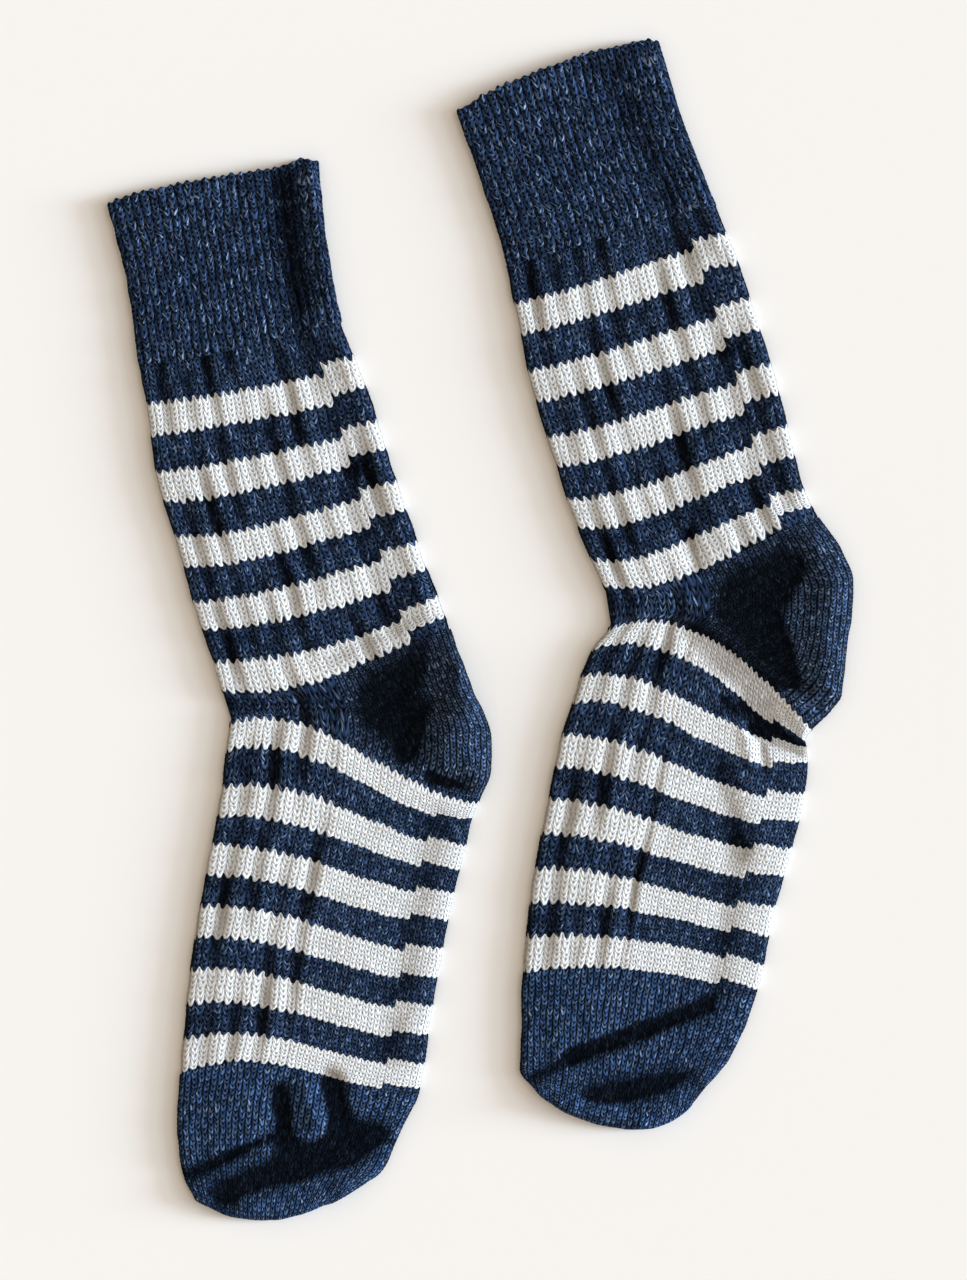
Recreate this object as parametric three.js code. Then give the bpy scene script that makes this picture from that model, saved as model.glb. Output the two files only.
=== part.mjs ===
// A pair of striped mid-calf socks, laid flat side by side with the cuffs up and the heels to the right.
// Units are millimetres, +Z is up, and every piece rests its flat underside on z = 0.
// A sock is a flattened tube of knit. Each piece of it is a closed shell: an outer loop of points with the
// ribs raised on top, a plain inner loop one wall inside it, and a narrow slit left between the two layers.
import * as THREE from 'three';

// Driving dimensions.
const WALL = 1.6;              // thickness of one layer of knit
const SEAM_GAP = 0.3;          // clear space between neighbouring pieces
const EDGE_HEIGHT = 4.3;       // height of a sock at its side folds
const BODY_RISE = 1.2;         // how much higher the flat middle stands
const MIN_HEIGHT = 3.7;        // lowest top that still leaves a slit between the layers
const FOLD_REACH = 2.6;        // how far the round of a side fold reaches inwards
const FOLD_ANGLES = [60, 0, -60];     // points on the round of a side fold, in degrees from level
const MIDDLE_FLATNESS = 4;     // power that keeps the middle flat and drops it near the folds
const FLOOR_SOFTNESS = 0.3;    // how gently a hollow meets the lowest height
const LEG_RIB_HEIGHT = 0.5;    // two proud wales beside one recessed, on the leg and the instep
const LEG_RIBS = 9;            // ribs across one layer of the leg
const LEG_RIB_POINTS = [0.02, 0.3, 0.7];  // points of each leg rib: its recess and both ends of its top
const CUFF_RIB_HEIGHT = 0.4;
const CUFF_RIBS = 25;          // ribs across one layer of the cuff
const CUFF_RIB_POINTS = [0.02, 0.5];
const PROUD_HALF = 0.3;        // half of a rib's proud part, as a share of the rib
const RIB_FADE_ROWS = 10;      // rows over which the instep's ribs die out on the toe
const TOE_SHARES = { shoulder: 0.85, end: 0.5 };  // height left at the toe's last two rings
const TOE_WALL_ROWS = 0.9;     // rows by which the hollow stops short of the toe's end
const LOWER_POINTS = 7;        // points across the plain lower layer
const ANKLE_WIDTH = 80;        // least width of a sock by the heel's front seam, for that seam's gap

// Knitted rows at which the pieces meet.
const ROW = { mouth: 0, cuffEnd: 32, legEnd: 98, footStart: 104, footEnd: 170, toeEnd: 200 };

// A section is one knitted row as it lies. (x0, y0) is its end on the front fold, (x1, y1) and (x2, y2) are
// one and two thirds of the way across, and (x3, y3) is its end on the back fold.
const SECTION = ['row', 'x0', 'y0', 'x1', 'y1', 'x2', 'y2', 'x3', 'y3'];
const LEFT_SECTIONS = named(SECTION, [
  [0, -166.1, 189.6, -134.1, 198.0, -102.1, 203.3, -71.5, 209.1],
  [16, -157.2, 154.5, -127.5, 161.6, -97.7, 167.8, -67.5, 173.1],
  [32, -151.9, 118.1, -121.2, 122.1, -90.6, 129.6, -60.9, 137.2],
  [40, -149.2, 100.3, -117.2, 104.8, -85.3, 110.5, -52.9, 117.2],
  [53, -144.8, 70.6, -111.5, 75.0, -78.2, 82.1, -43.1, 89.2],
  [66, -136.3, 42.1, -103.0, 45.3, -69.7, 54.1, -35.1, 62.1],
  [79, -127.9, 12.8, -94.2, 17.7, -60.4, 26.6, -25.8, 35.5],
  [92, -119.5, -13.8, -85.7, -11.1, -52.0, -2.3, -16.5, 12.0],
  [98, -115.9, -26.7, -80.4, -25.3, -46.6, -12.9, -12.9, 0.9],
  [100, -112.8, -31.6, -76.8, -31.6, -39.5, -28.0, -3.6, -24.5],
  [102, -111.0, -36.0, -76.0, -36.4, -35.1, -40.4, 5.3, -49.3],
  [103, -111.0, -38.2, -75.5, -39.1, -34.7, -50.2, 4.9, -62.2],
  [104, -111.5, -40.9, -75.1, -41.8, -36.9, -60.4, 0.4, -74.6],
  [110, -113.2, -53.3, -76.8, -55.1, -39.1, -73.3, -3.6, -83.9],
  [116, -115.0, -68.9, -78.2, -72.0, -42.7, -85.7, -6.7, -97.7],
  [128, -119.5, -94.6, -83.5, -99.5, -48.0, -110.1, -12.0, -118.6],
  [140, -124.8, -122.1, -88.8, -125.7, -52.9, -135.9, -16.9, -143.9],
  [152, -129.2, -150.1, -92.8, -152.8, -56.9, -162.1, -21.3, -168.8],
  [164, -132.3, -181.6, -95.9, -179.9, -60.4, -187.8, -24.9, -194.9],
  [170, -133.7, -197.2, -98.2, -191.8, -63.1, -198.9, -27.1, -205.6],
  [180, -134.6, -218.0, -101.3, -216.3, -67.1, -219.8, -34.7, -220.7],
  [190, -132.8, -238.5, -103.0, -240.2, -73.3, -240.2, -43.1, -239.3],
  [200, -126.6, -252.7, -103.5, -261.5, -79.9, -259.3, -56.4, -249.1],
]);
const RIGHT_SECTIONS = named(SECTION, [
  [0, -11.1, 230.8, 19.1, 245.5, 49.7, 256.6, 79.9, 261.9],
  [16, 1.3, 195.8, 31.5, 206.4, 60.8, 216.6, 91.0, 225.1],
  [32, 11.5, 162.0, 43.5, 170.9, 74.6, 181.1, 105.2, 189.1],
  [40, 14.6, 145.2, 46.6, 153.6, 78.6, 164.2, 112.3, 172.2],
  [53, 20.4, 115.4, 53.7, 123.4, 87.4, 133.6, 122.5, 142.9],
  [66, 28.8, 85.7, 63.0, 93.7, 96.8, 104.8, 131.4, 114.5],
  [79, 38.2, 58.6, 71.5, 64.3, 104.3, 76.3, 138.1, 86.5],
  [92, 48.8, 31.5, 81.7, 35.5, 113.6, 49.7, 146.0, 59.0],
  [98, 54.1, 19.1, 87.0, 22.2, 119.0, 36.8, 150.5, 50.6],
  [99, 55.9, 16.0, 88.3, 19.1, 123.8, 27.5, 160.3, 36.4],
  [100, 57.2, 13.3, 89.7, 16.0, 127.8, 17.3, 166.0, 21.3],
  [102, 57.7, 7.5, 90.1, 8.8, 127.0, -0.0, 162.5, -12.0],
  [103, 57.7, 4.9, 89.2, 6.2, 123.0, -6.2, 160.7, -28.4],
  [104, 56.8, 1.7, 87.0, 4.0, 116.7, -11.1, 148.3, -43.1],
  [110, 49.7, -8.0, 83.0, -8.5, 114.1, -26.2, 144.7, -48.9],
  [116, 44.4, -19.6, 78.6, -24.9, 112.3, -40.9, 145.2, -52.0],
  [122, 40.8, -31.6, 76.3, -37.3, 111.4, -53.8, 145.6, -60.4],
  [128, 35.9, -46.2, 71.9, -52.9, 107.9, -67.5, 143.8, -74.6],
  [140, 30.2, -74.2, 66.6, -80.8, 102.1, -91.9, 138.1, -99.0],
  [152, 23.9, -105.3, 59.9, -108.4, 95.0, -117.2, 130.5, -125.2],
  [164, 20.0, -135.9, 55.9, -135.9, 90.5, -140.3, 125.6, -151.4],
  [170, 18.6, -152.3, 53.7, -149.7, 87.9, -153.2, 122.5, -162.1],
  [180, 18.2, -173.6, 51.0, -173.6, 83.4, -177.6, 115.9, -179.9],
  [190, 17.7, -194.1, 48.8, -198.5, 78.1, -201.2, 107.4, -194.9],
  [200, 24.4, -203.8, 44.4, -216.7, 74.6, -221.1, 97.2, -204.7],
]);

// A fold is a rounded ridge or hollow of the upper layer along the line from (x0, y0) to (x1, y1). Its width
// is from the line to where little is left of it, and a height below zero makes it a hollow.
const FOLD = ['name', 'x0', 'y0', 'x1', 'y1', 'width', 'height'];
const LEFT_FOLDS = named(FOLD, [
  ['cuff hollow', -87.1, 198.0, -78.6, 131.4, 6.7, -0.9],
  ['cuff back ridge', -76.0, 205.5, -64.4, 138.9, 3.6, 0.9],
  ['upper leg hollow', -72.0, 123.8, -56.9, 71.5, 5.3, -0.9],
  ['lower leg hollow', -56.9, 71.5, -34.7, 7.1, 5.8, -0.8],
  ['leg back ridge', -55.1, 113.2, -23.1, 13.7, 4.0, 0.7],
  ['leg front swell', -128.8, 93.7, -96.8, -4.0, 17.8, 0.5],
  ['heel hollow, upper', -42.2, -26.2, -24.4, -12.9, 11.5, -1.7],
  ['heel hollow, lower', -42.2, -37.3, -30.2, -46.2, 10.7, -1.7],
  ['heel rim, upper', -13.8, -10.7, -4.5, -32.9, 6.2, 1.9],
  ['heel rim, lower', -4.5, -32.9, -3.1, -64.0, 6.7, 2.1],
  ['under the heel', -22.2, -65.3, -6.2, -68.9, 2.7, -1.5],
  ['sole hollow', -21.3, -84.8, -40.9, -188.3, 6.7, -0.8],
  ['instep swell', -96.8, -75.1, -107.5, -177.2, 16.9, 0.6],
  ['toe fold, inner', -88.4, -204.7, -86.2, -234.9, 4.0, -1.8],
  ['toe fold, outer', -65.3, -200.3, -60.9, -220.7, 4.4, -1.6],
  ['toe ridge', -76.8, -202.9, -75.1, -222.5, 4.0, 0.7],
  ['toe crease', -127.9, -242.0, -94.2, -224.3, 2.7, -1.1],
  ['toe hollow, left', -112.8, -249.1, -83.5, -237.1, 6.2, -1.7],
  ['toe hollow, right', -83.5, -237.1, -48.0, -226.0, 6.7, -1.9],
  ['toe rim', -102.1, -256.2, -60.0, -249.6, 4.0, 0.9],
  ['toe rim, back', -60.0, -249.6, -36.4, -221.6, 4.0, 0.9],
]);
const RIGHT_FOLDS = named(FOLD, [
  ['cuff hollow', 58.6, 249.1, 93.2, 171.4, 7.5, -0.7],
  ['cuff back ridge', 76.3, 255.7, 103.0, 184.7, 3.6, 0.7],
  ['upper leg hollow', 93.2, 166.9, 107.4, 124.7, 5.3, -0.8],
  ['middle hollow', 87.0, 84.8, 97.7, 31.5, 5.3, -0.9],
  ['lower leg hollow', 107.4, 124.7, 125.2, 67.0, 5.3, -0.8],
  ['leg back ridge', 111.9, 169.1, 143.4, 62.6, 4.0, 0.8],
  ['leg front swell', 35.5, 129.2, 64.4, 31.5, 16.9, 0.5],
  ['heel hollow, upper', 117.6, 18.2, 137.6, 31.5, 11.5, -1.7],
  ['heel hollow, lower', 116.3, 8.4, 135.4, -17.3, 10.7, -1.9],
  ['heel rim, upper', 147.4, 40.4, 157.6, 18.2, 6.7, 2.0],
  ['heel rim, lower', 155.4, 13.7, 152.7, -26.2, 7.1, 2.4],
  ['heel pouch end', 137.6, -32.9, 144.7, -40.4, 5.8, 2.2],
  ['first stripe end', 113.2, -18.2, 142.1, -45.3, 4.4, 1.4],
  ['pouch crease, inner', 107.4, -30.7, 120.7, -43.1, 2.7, -1.0],
  ['pouch crease', 120.7, -43.5, 142.1, -52.4, 2.7, -2.6],
  ['sole hollow', 106.5, -61.7, 114.5, -97.3, 5.3, -1.0],
  ['sole hollow, low', 114.5, -97.3, 104.3, -159.4, 6.7, -0.8],
  ['instep swell', 63.0, -26.2, 45.7, -128.3, 16.9, 0.6],
  ['toe crease, front', 23.5, -198.1, 40.8, -188.3, 2.7, -1.2],
  ['toe crease, middle', 40.8, -188.3, 71.0, -177.2, 3.6, -1.8],
  ['toe crease, back', 71.0, -177.2, 99.9, -166.1, 3.6, -1.6],
  ['toe swell', 71.0, -163.9, 35.5, -177.2, 7.1, 0.8],
  ['toe hollow', 48.8, -207.4, 93.2, -199.4, 5.3, -1.2],
  ['toe rim', 35.5, -210.0, 71.0, -218.9, 3.6, 0.9],
  ['toe rim, back', 71.0, -218.9, 113.2, -183.8, 4.0, 0.9],
]);

// heelStart is the share of the way across at which the heel begins, behind the band over the ankle.
const SOCKS = [
  { side: 'left', sections: LEFT_SECTIONS, folds: LEFT_FOLDS, heelStart: 13 / 27 },
  { side: 'right', sections: RIGHT_SECTIONS, folds: RIGHT_FOLDS, heelStart: 12 / 27 },
];

// Rows at which each piece has a ring of points, apart from its two ends. The ankle band shares the heel's.
const INNER_ROWS = {
  cuff: [6, 14, 23],
  leg: [40, 53, 66, 79, 92],
  heel: [99, 100, 101, 102, 103],
  foot: [107, 110, 113, 116, 122, 131, 140, 152, 164],
  toe: [174, 178, 182, 186, 190, 194, 197.5, 199.2],
};

const COLOURS = { navy: 0x1e2d42, heelNavy: 0x16202f, marl: 0xdbdddc };

function named(columns, rows) {
  return rows.map((row) => Object.fromEntries(columns.map((column, i) => [column, row[i]])));
}

// Smooth value of one column between the sections: a cubic that never swings past the values it joins, its
// slope at each section being a weighted harmonic mean of the slopes on both sides.
function alongRows(sections, column, row) {
  const last = sections.length - 1;
  let i = 0;
  while (i < last - 1 && row > sections[i + 1].row) i += 1;
  const chord = (k) => {
    const rise = sections[k + 1][column] - sections[k][column];
    return rise / (sections[k + 1].row - sections[k].row);
  };
  const slope = (k) => {
    if (k === 0) return chord(0);
    if (k === last) return chord(last - 1);
    const [steepBefore, steepAfter] = [chord(k - 1), chord(k)];
    if (steepBefore * steepAfter <= 0) return 0;
    const before = sections[k].row - sections[k - 1].row;
    const after = sections[k + 1].row - sections[k].row;
    const weights = [2 * after + before, after + 2 * before];
    return 3 * (before + after) / (weights[0] / steepBefore + weights[1] / steepAfter);
  };
  const from = sections[i];
  const to = sections[i + 1];
  const span = to.row - from.row;
  const u = (row - from.row) / span;
  const bend = u * u * (3 - 2 * u);
  return from[column] * (1 - bend) + to[column] * bend
    + span * u * (1 - u) * ((1 - u) * slope(i) - u * slope(i + 1));
}

// Point of a knitted row, t going from 0 at the front fold to 1 at the back fold: the cubic through the
// section's four points.
function across(sock, row, t) {
  const weights = [
    -4.5 * (t - 1 / 3) * (t - 2 / 3) * (t - 1),
    13.5 * t * (t - 2 / 3) * (t - 1),
    -13.5 * t * (t - 1 / 3) * (t - 1),
    4.5 * t * (t - 1 / 3) * (t - 2 / 3),
  ];
  const at = (axis) => weights.reduce((sum, w, i) => sum + w * alongRows(sock.sections, axis + i, row), 0);
  return [at('x'), at('y')];
}

// The point of a row moved square to the row, towards the toe, by a distance in mm. It holds a seam's gap.
function shifted(sock, row, t, distance) {
  const step = 0.01;
  const [x, y] = across(sock, row, t);
  if (distance === 0) return [x, y];
  const [xa, ya] = across(sock, row, t - step);
  const [xb, yb] = across(sock, row, t + step);
  const length = Math.hypot(xb - xa, yb - ya);
  return [x + (yb - ya) / length * distance, y - (xb - xa) / length * distance];
}

// Height of the upper layer's plain face at a point: a flat middle, lower side folds, and the folds' rounded
// profiles, held above the height that the slit needs.
function plainHeight(sock, t, x, y) {
  let height = EDGE_HEIGHT + BODY_RISE * (1 - Math.abs(2 * t - 1) ** MIDDLE_FLATNESS);
  for (const fold of sock.folds) {
    const dx = fold.x1 - fold.x0;
    const dy = fold.y1 - fold.y0;
    const along = ((x - fold.x0) * dx + (y - fold.y0) * dy) / (dx * dx + dy * dy);
    const u = Math.min(Math.max(along, 0), 1);
    const away = Math.hypot(x - fold.x0 - u * dx, y - fold.y0 - u * dy);
    height += fold.height * Math.exp(-((away / fold.width) ** 2));
  }
  const spare = height - MIN_HEIGHT;
  return MIN_HEIGHT + (spare + Math.hypot(spare, FLOOR_SOFTNESS)) / 2;
}

// 1 on a rib's proud wales and 0 in its recess, for so many ribs across the layer.
function proud(t, ribs) {
  const phase = t * ribs - Math.floor(t * ribs);
  return Math.abs(phase - 0.5) < PROUD_HALF ? 1 : 0;
}

// Height that the ribs add. Below the leg only the instep has them, and they die out on the toe.
function legRib(t, row, heelStart) {
  const kept = row <= ROW.legEnd || t < heelStart ? 1 : 0;
  const toeFade = Math.min(Math.max((ROW.footEnd + RIB_FADE_ROWS - row) / RIB_FADE_ROWS, 0), 1);
  return proud(t, LEG_RIBS) * kept * toeFade * LEG_RIB_HEIGHT;
}

function cuffRib(t) {
  return proud(t, CUFF_RIBS) * CUFF_RIB_HEIGHT;
}

// Columns of a loop: across the top from front to back, round the back fold, back along the underside and
// round the front fold. A column has its share t of the way across and its angle round the fold.
function columnsOf(topShares) {
  const lower = Array.from({ length: LOWER_POINTS }, (_, i) => i / (LOWER_POINTS - 1));
  return [
    ...topShares.map((t) => ({ t, angle: 90 })),
    ...FOLD_ANGLES.map((angle) => ({ t: 1, angle })),
    ...lower.map((t) => ({ t: 1 - t, angle: -90 })),
    ...FOLD_ANGLES.map((angle) => ({ t: 0, angle: -angle })),
  ];
}

// A point of the outer or inner loop. The loop lies inset from the sock's edge, its two flat layers join in a
// round of the given reach, and the toe's end is drawn in towards mid height.
function loopPoint(sock, ring, column, inner, rib) {
  const inset = inner ? WALL : 0;
  const reach = inner ? FOLD_REACH - WALL : FOLD_REACH;
  const row = inner && ring.innerRow !== undefined ? ring.innerRow : ring.row;
  const front = across(sock, row, 0);
  const back = across(sock, row, 1);
  const width = Math.hypot(back[0] - front[0], back[1] - front[1]);
  const angle = column.angle * Math.PI / 180;
  const edge = (inset + reach) / width;
  const outward = reach * Math.cos(angle) / width;
  const side = column.t < 0.5 ? -1 : 1;
  const t = edge + (1 - 2 * edge) * column.t + side * outward;
  const [x, y] = shifted(sock, row, t, inner && ring.innerRow !== undefined ? 0 : ring.shift);
  const top = plainHeight(sock, t, x, y);
  const ceiling = inner ? top - WALL : top;
  const floor = inner ? WALL : 0;
  const middle = (ceiling + floor) / 2;
  let z = middle + (ceiling - floor) / 2 * Math.sin(angle);
  if (column.angle === 90 && !inner) z += rib(column.t, ring.row);
  if (ring.share !== undefined) z = EDGE_HEIGHT / 2 + (z - EDGE_HEIGHT / 2) * ring.share;
  return [x, y, z];
}

// Closed shell over a grid of rings and columns. kept(i, j) says whether the cell after ring i and column j is
// part of the piece. Each edge of the kept cells gets a wall from the outer to the inner surface, and a closed
// end gets a lid across each surface instead.
function shell(sock, rings, columns, options = {}) {
  const { kept = () => true, rib = () => 0, closedEnd = false } = options;
  const nRings = rings.length;
  const nColumns = columns.length;
  const positions = [];
  for (const inner of [false, true]) {
    for (const ring of rings) {
      for (const column of columns) positions.push(...loopPoint(sock, ring, column, inner, rib));
    }
  }
  const outerAt = (i, j) => i * nColumns + (j + nColumns) % nColumns;
  const innerAt = (i, j) => nRings * nColumns + outerAt(i, j);
  const faces = [];
  const quad = (a, b, c, d) => faces.push(a, b, c, a, c, d);
  const has = (i, j) => i >= 0 && i < nRings - 1 && kept(i, (j + nColumns) % nColumns);
  for (let i = 0; i < nRings - 1; i += 1) {
    for (let j = 0; j < nColumns; j += 1) {
      if (!has(i, j)) continue;
      quad(outerAt(i, j), outerAt(i + 1, j), outerAt(i + 1, j + 1), outerAt(i, j + 1));
      quad(innerAt(i, j), innerAt(i, j + 1), innerAt(i + 1, j + 1), innerAt(i + 1, j));
      if (!has(i - 1, j)) quad(outerAt(i, j), outerAt(i, j + 1), innerAt(i, j + 1), innerAt(i, j));
      const lidded = closedEnd && i === nRings - 2;
      if (!has(i + 1, j) && !lidded) {
        quad(outerAt(i + 1, j + 1), outerAt(i + 1, j), innerAt(i + 1, j), innerAt(i + 1, j + 1));
      }
      if (!has(i, j - 1)) quad(outerAt(i + 1, j), outerAt(i, j), innerAt(i, j), innerAt(i + 1, j));
      if (!has(i, j + 1)) {
        quad(outerAt(i, j + 1), outerAt(i + 1, j + 1), innerAt(i + 1, j + 1), innerAt(i, j + 1));
      }
    }
  }
  if (closedEnd) {
    addLid(faces, columns, (j) => outerAt(nRings - 1, j), false);
    addLid(faces, columns, (j) => innerAt(nRings - 1, j), true);
  }
  return compact(positions, faces);
}

// Lid over the last loop, as a strip between its upper and its lower points, each side advancing by share.
function addLid(faces, columns, at, flipped) {
  const count = columns.length;
  const backMiddle = columns.findIndex((c) => c.t === 1 && c.angle === 0);
  const frontMiddle = count - 1 - [...columns].reverse().findIndex((c) => c.t === 0 && c.angle === 0);
  const place = (j) => {
    const c = columns[j % count];
    const beyond = FOLD_REACH / ANKLE_WIDTH * Math.cos(c.angle * Math.PI / 180);
    return c.t < 0.5 ? c.t - beyond : c.t + beyond;
  };
  const add = (a, b, c) => faces.push(...(flipped ? [at(a), at(c), at(b)] : [at(a), at(b), at(c)]));
  let upper = frontMiddle;
  let lower = frontMiddle;
  const upperEnd = backMiddle + count;
  while (upper < upperEnd || lower > backMiddle) {
    const nextUpper = upper < upperEnd ? place(upper + 1) : Infinity;
    const nextLower = lower > backMiddle ? place(lower - 1) : Infinity;
    if (nextUpper <= nextLower) {
      if (upper + 1 !== lower + count) add(upper + 1, upper, lower);
      upper += 1;
    } else {
      if (lower - 1 + count !== upper) add(upper, lower, lower - 1);
      lower -= 1;
    }
  }
}

// Geometry with only the points that a face uses.
function compact(positions, faces) {
  const renumbered = new Map();
  const points = [];
  const index = [];
  for (let i = 0; i < faces.length; i += 3) {
    const [a, b, c] = faces.slice(i, i + 3);
    if (a === b || b === c || a === c) continue;
    for (const v of [a, b, c]) {
      if (!renumbered.has(v)) {
        renumbered.set(v, renumbered.size);
        points.push(...positions.slice(3 * v, 3 * v + 3));
      }
      index.push(renumbered.get(v));
    }
  }
  const geometry = new THREE.BufferGeometry();
  geometry.setAttribute('position', new THREE.Float32BufferAttribute(points, 3));
  geometry.setIndex(index);
  geometry.computeVertexNormals();
  return geometry;
}

function ringsBetween(first, innerRows, last) {
  const half = SEAM_GAP / 2;
  return [
    { row: first, shift: first === ROW.mouth ? 0 : half },
    ...innerRows.map((row) => ({ row, shift: 0 })),
    { row: last, shift: last === ROW.toeEnd ? 0 : -half },
  ];
}

function ribbedShares(ribs, phases) {
  const shares = [0];
  for (let k = 0; k < ribs; k += 1) shares.push(...phases.map((phase) => (k + phase) / ribs));
  return [...new Set([...shares, 1])];
}

function buildSock(sock) {
  const group = new THREE.Group();
  const add = (part, geometry, colour) => {
    const mesh = new THREE.Mesh(geometry, new THREE.MeshStandardMaterial({ color: colour, roughness: 0.95 }));
    mesh.name = `${sock.side}_${part}`;
    group.add(mesh);
  };

  const cuffColumns = columnsOf(ribbedShares(CUFF_RIBS, CUFF_RIB_POINTS));
  add('cuff', shell(sock, ringsBetween(ROW.mouth, INNER_ROWS.cuff, ROW.cuffEnd), cuffColumns, {
    rib: cuffRib,
  }), COLOURS.navy);

  // The leg runs on below the heel's start as a band over the ankle, in front of the heel.
  const seam = SEAM_GAP / 2 / ANKLE_WIDTH;
  const shares = ribbedShares(LEG_RIBS, LEG_RIB_POINTS);
  const clearOfSeam = shares.filter((t) => Math.abs(t - sock.heelStart) > 2 * seam);
  const legShares = [...clearOfSeam, sock.heelStart - seam];
  const lowerShare = (t) => ({ t, angle: -90 });
  const legColumns = columnsOf(legShares.sort((a, b) => a - b));
  const splitAt = legColumns.findIndex((c) => c.angle === -90 && c.t < sock.heelStart);
  legColumns.splice(splitAt, 0, lowerShare(sock.heelStart - seam));
  const legRings = ringsBetween(ROW.cuffEnd, INNER_ROWS.leg, ROW.legEnd);
  const fullCells = legRings.length - 1;
  legRings.push(...ringsBetween(ROW.legEnd, INNER_ROWS.heel, ROW.footStart).slice(1));
  const inFront = (j) => {
    const next = (j + 1) % legColumns.length;
    return legColumns[j].t < sock.heelStart && legColumns[next].t < sock.heelStart;
  };
  const onLeg = (t, row) => legRib(t, row, sock.heelStart);
  add('leg', shell(sock, legRings, legColumns, {
    kept: (i, j) => i < fullCells || inFront(j),
    rib: onLeg,
  }), COLOURS.marl);

  // The heel wraps the back fold from just behind the ankle band.
  const heelTop = [sock.heelStart + seam, ...clearOfSeam.filter((t) => t > sock.heelStart)];
  const heelColumns = columnsOf(heelTop).filter((c) => c.t > sock.heelStart);
  heelColumns.push(lowerShare(sock.heelStart + seam));
  add('heel', shell(sock, ringsBetween(ROW.legEnd, INNER_ROWS.heel, ROW.footStart), heelColumns, {
    kept: (i, j) => j < heelColumns.length - 1,
  }), COLOURS.heelNavy);

  add('foot', shell(sock, ringsBetween(ROW.footStart, INNER_ROWS.foot, ROW.footEnd), columnsOf(shares), {
    rib: onLeg,
  }), COLOURS.marl);

  // The toe's last rings close in on mid height, and its hollow stops a wall short of the end.
  const toeRings = ringsBetween(ROW.footEnd, INNER_ROWS.toe, ROW.toeEnd);
  const hollowShare = (ROW.toeEnd - TOE_WALL_ROWS - ROW.footEnd) / (ROW.toeEnd - ROW.footEnd);
  toeRings.forEach((ring, i) => {
    if (i > 0) ring.innerRow = ROW.footEnd + (ring.row - ROW.footEnd) * hollowShare;
    if (ring.row === INNER_ROWS.toe.at(-1)) ring.share = TOE_SHARES.shoulder;
    if (ring.row === ROW.toeEnd) ring.share = TOE_SHARES.end;
  });
  add('toe', shell(sock, toeRings, columnsOf(shares), { rib: onLeg, closedEnd: true }), COLOURS.navy);
  return group;
}

const pair = new THREE.Group();
pair.name = 'pair_of_socks';
for (const sock of SOCKS) pair.add(...buildSock(sock).children);
export default pair;
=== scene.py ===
import math

import bpy
import numpy as np
from bpy.props import FloatProperty, FloatVectorProperty, PointerProperty
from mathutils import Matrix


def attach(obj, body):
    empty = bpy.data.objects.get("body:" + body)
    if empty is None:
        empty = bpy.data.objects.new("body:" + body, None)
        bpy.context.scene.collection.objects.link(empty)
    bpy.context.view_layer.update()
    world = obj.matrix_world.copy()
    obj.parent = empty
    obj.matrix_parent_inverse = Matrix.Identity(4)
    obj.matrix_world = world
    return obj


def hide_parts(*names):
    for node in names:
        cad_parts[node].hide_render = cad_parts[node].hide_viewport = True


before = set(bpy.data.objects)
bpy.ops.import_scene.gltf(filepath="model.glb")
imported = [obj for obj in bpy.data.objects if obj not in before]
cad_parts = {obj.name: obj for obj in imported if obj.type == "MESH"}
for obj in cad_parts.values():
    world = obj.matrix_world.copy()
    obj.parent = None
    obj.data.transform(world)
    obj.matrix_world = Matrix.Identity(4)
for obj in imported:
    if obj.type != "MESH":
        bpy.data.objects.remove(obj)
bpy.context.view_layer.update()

bl_info = {
    "name": "Striped socks",
    "version": (1, 0, 0),
    "blender": (4, 5, 0),
    "location": "3D View > Sidebar > Striped socks",
    "description": "Builds a pair of striped knitted socks stitch by stitch, with their studio",
    "category": "Mesh",
}

MM = 0.001

# Sizes shared with the part's source.
WALL = 1.6              # thickness of one layer of knit
EDGE_HEIGHT = 4.3       # height of a sock at its side folds
BODY_RISE = 1.2         # how much higher the flat middle stands
MIN_HEIGHT = 3.7        # lowest top that still leaves a slit between the layers
FOLD_REACH = 2.6        # how far the round of a side fold reaches inwards
MIDDLE_FLATNESS = 4     # power that keeps the middle flat and drops it near the folds
FLOOR_SOFTNESS = 0.3    # how gently a hollow meets the lowest height
FULL_HOLLOW = 1.4       # depth at which the shade painted into a hollow is at its darkest
HOLLOW_SPREAD, RIDGE_SHARE = 1.1, 1.5   # how much wider than its form a hollow's painted shade spreads, and how ridges count
TOE_ROUND = 1.3         # rows over which the toe's two layers round into each other
MOUTH, CUFF_END, LEG_END, FOOT_START, FOOT_END, TOE_END = 0, 32, 98, 104, 170, 200

# The knit. A wale is a column of stitches; wale centres lie at whole wale numbers.
WALES = 27              # wales across one layer of the leg, and twice that all round
LOOP = 2 * WALES
CUFF_WALES = 25         # knit wales across one layer of the cuff, each beside a purl furrow
CUFF_FILL = 0.95        # share of a cuff wale that the knit chain takes
CORNER = 0.3            # rows by which the corners of the cuff's edge are rounded off
LIP = 0.2               # rows by which the cuff's bumpy edge starts inside its end
SOLE_END = 34           # wale number at the back fold of the sole, whose wales are finer
TOE_WALES = 37          # wales across one layer of the toe
HEEL_WALES = 23         # wales from the heel's front seam to its back fold
HEEL_COURSE = 1.75      # length of a heel stitch
RIB_WALES = 3           # two proud wales and one recessed
SLANT = 0.85            # rows that a leg of a stitch climbs from the wale's centre to its side
SOLE_SLANT = 0.5        # share of that climb on the sole, toe and heel
RIB_TO_THE_END = (FOOT_END + 40, FOOT_END + 50)     # rows of a fade that the instep's rib never reaches
PITS = ((0, 0.12), (1, 0.62))   # where the pits between loops lie, as x and p of the stitch() formula
PIT_HALF, PIT_LENGTH = 0.22, 0.26
DRIFT_WALES, DRIFT_ROWS = 0.13, 0.24    # how far the stitches lie off their places
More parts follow.
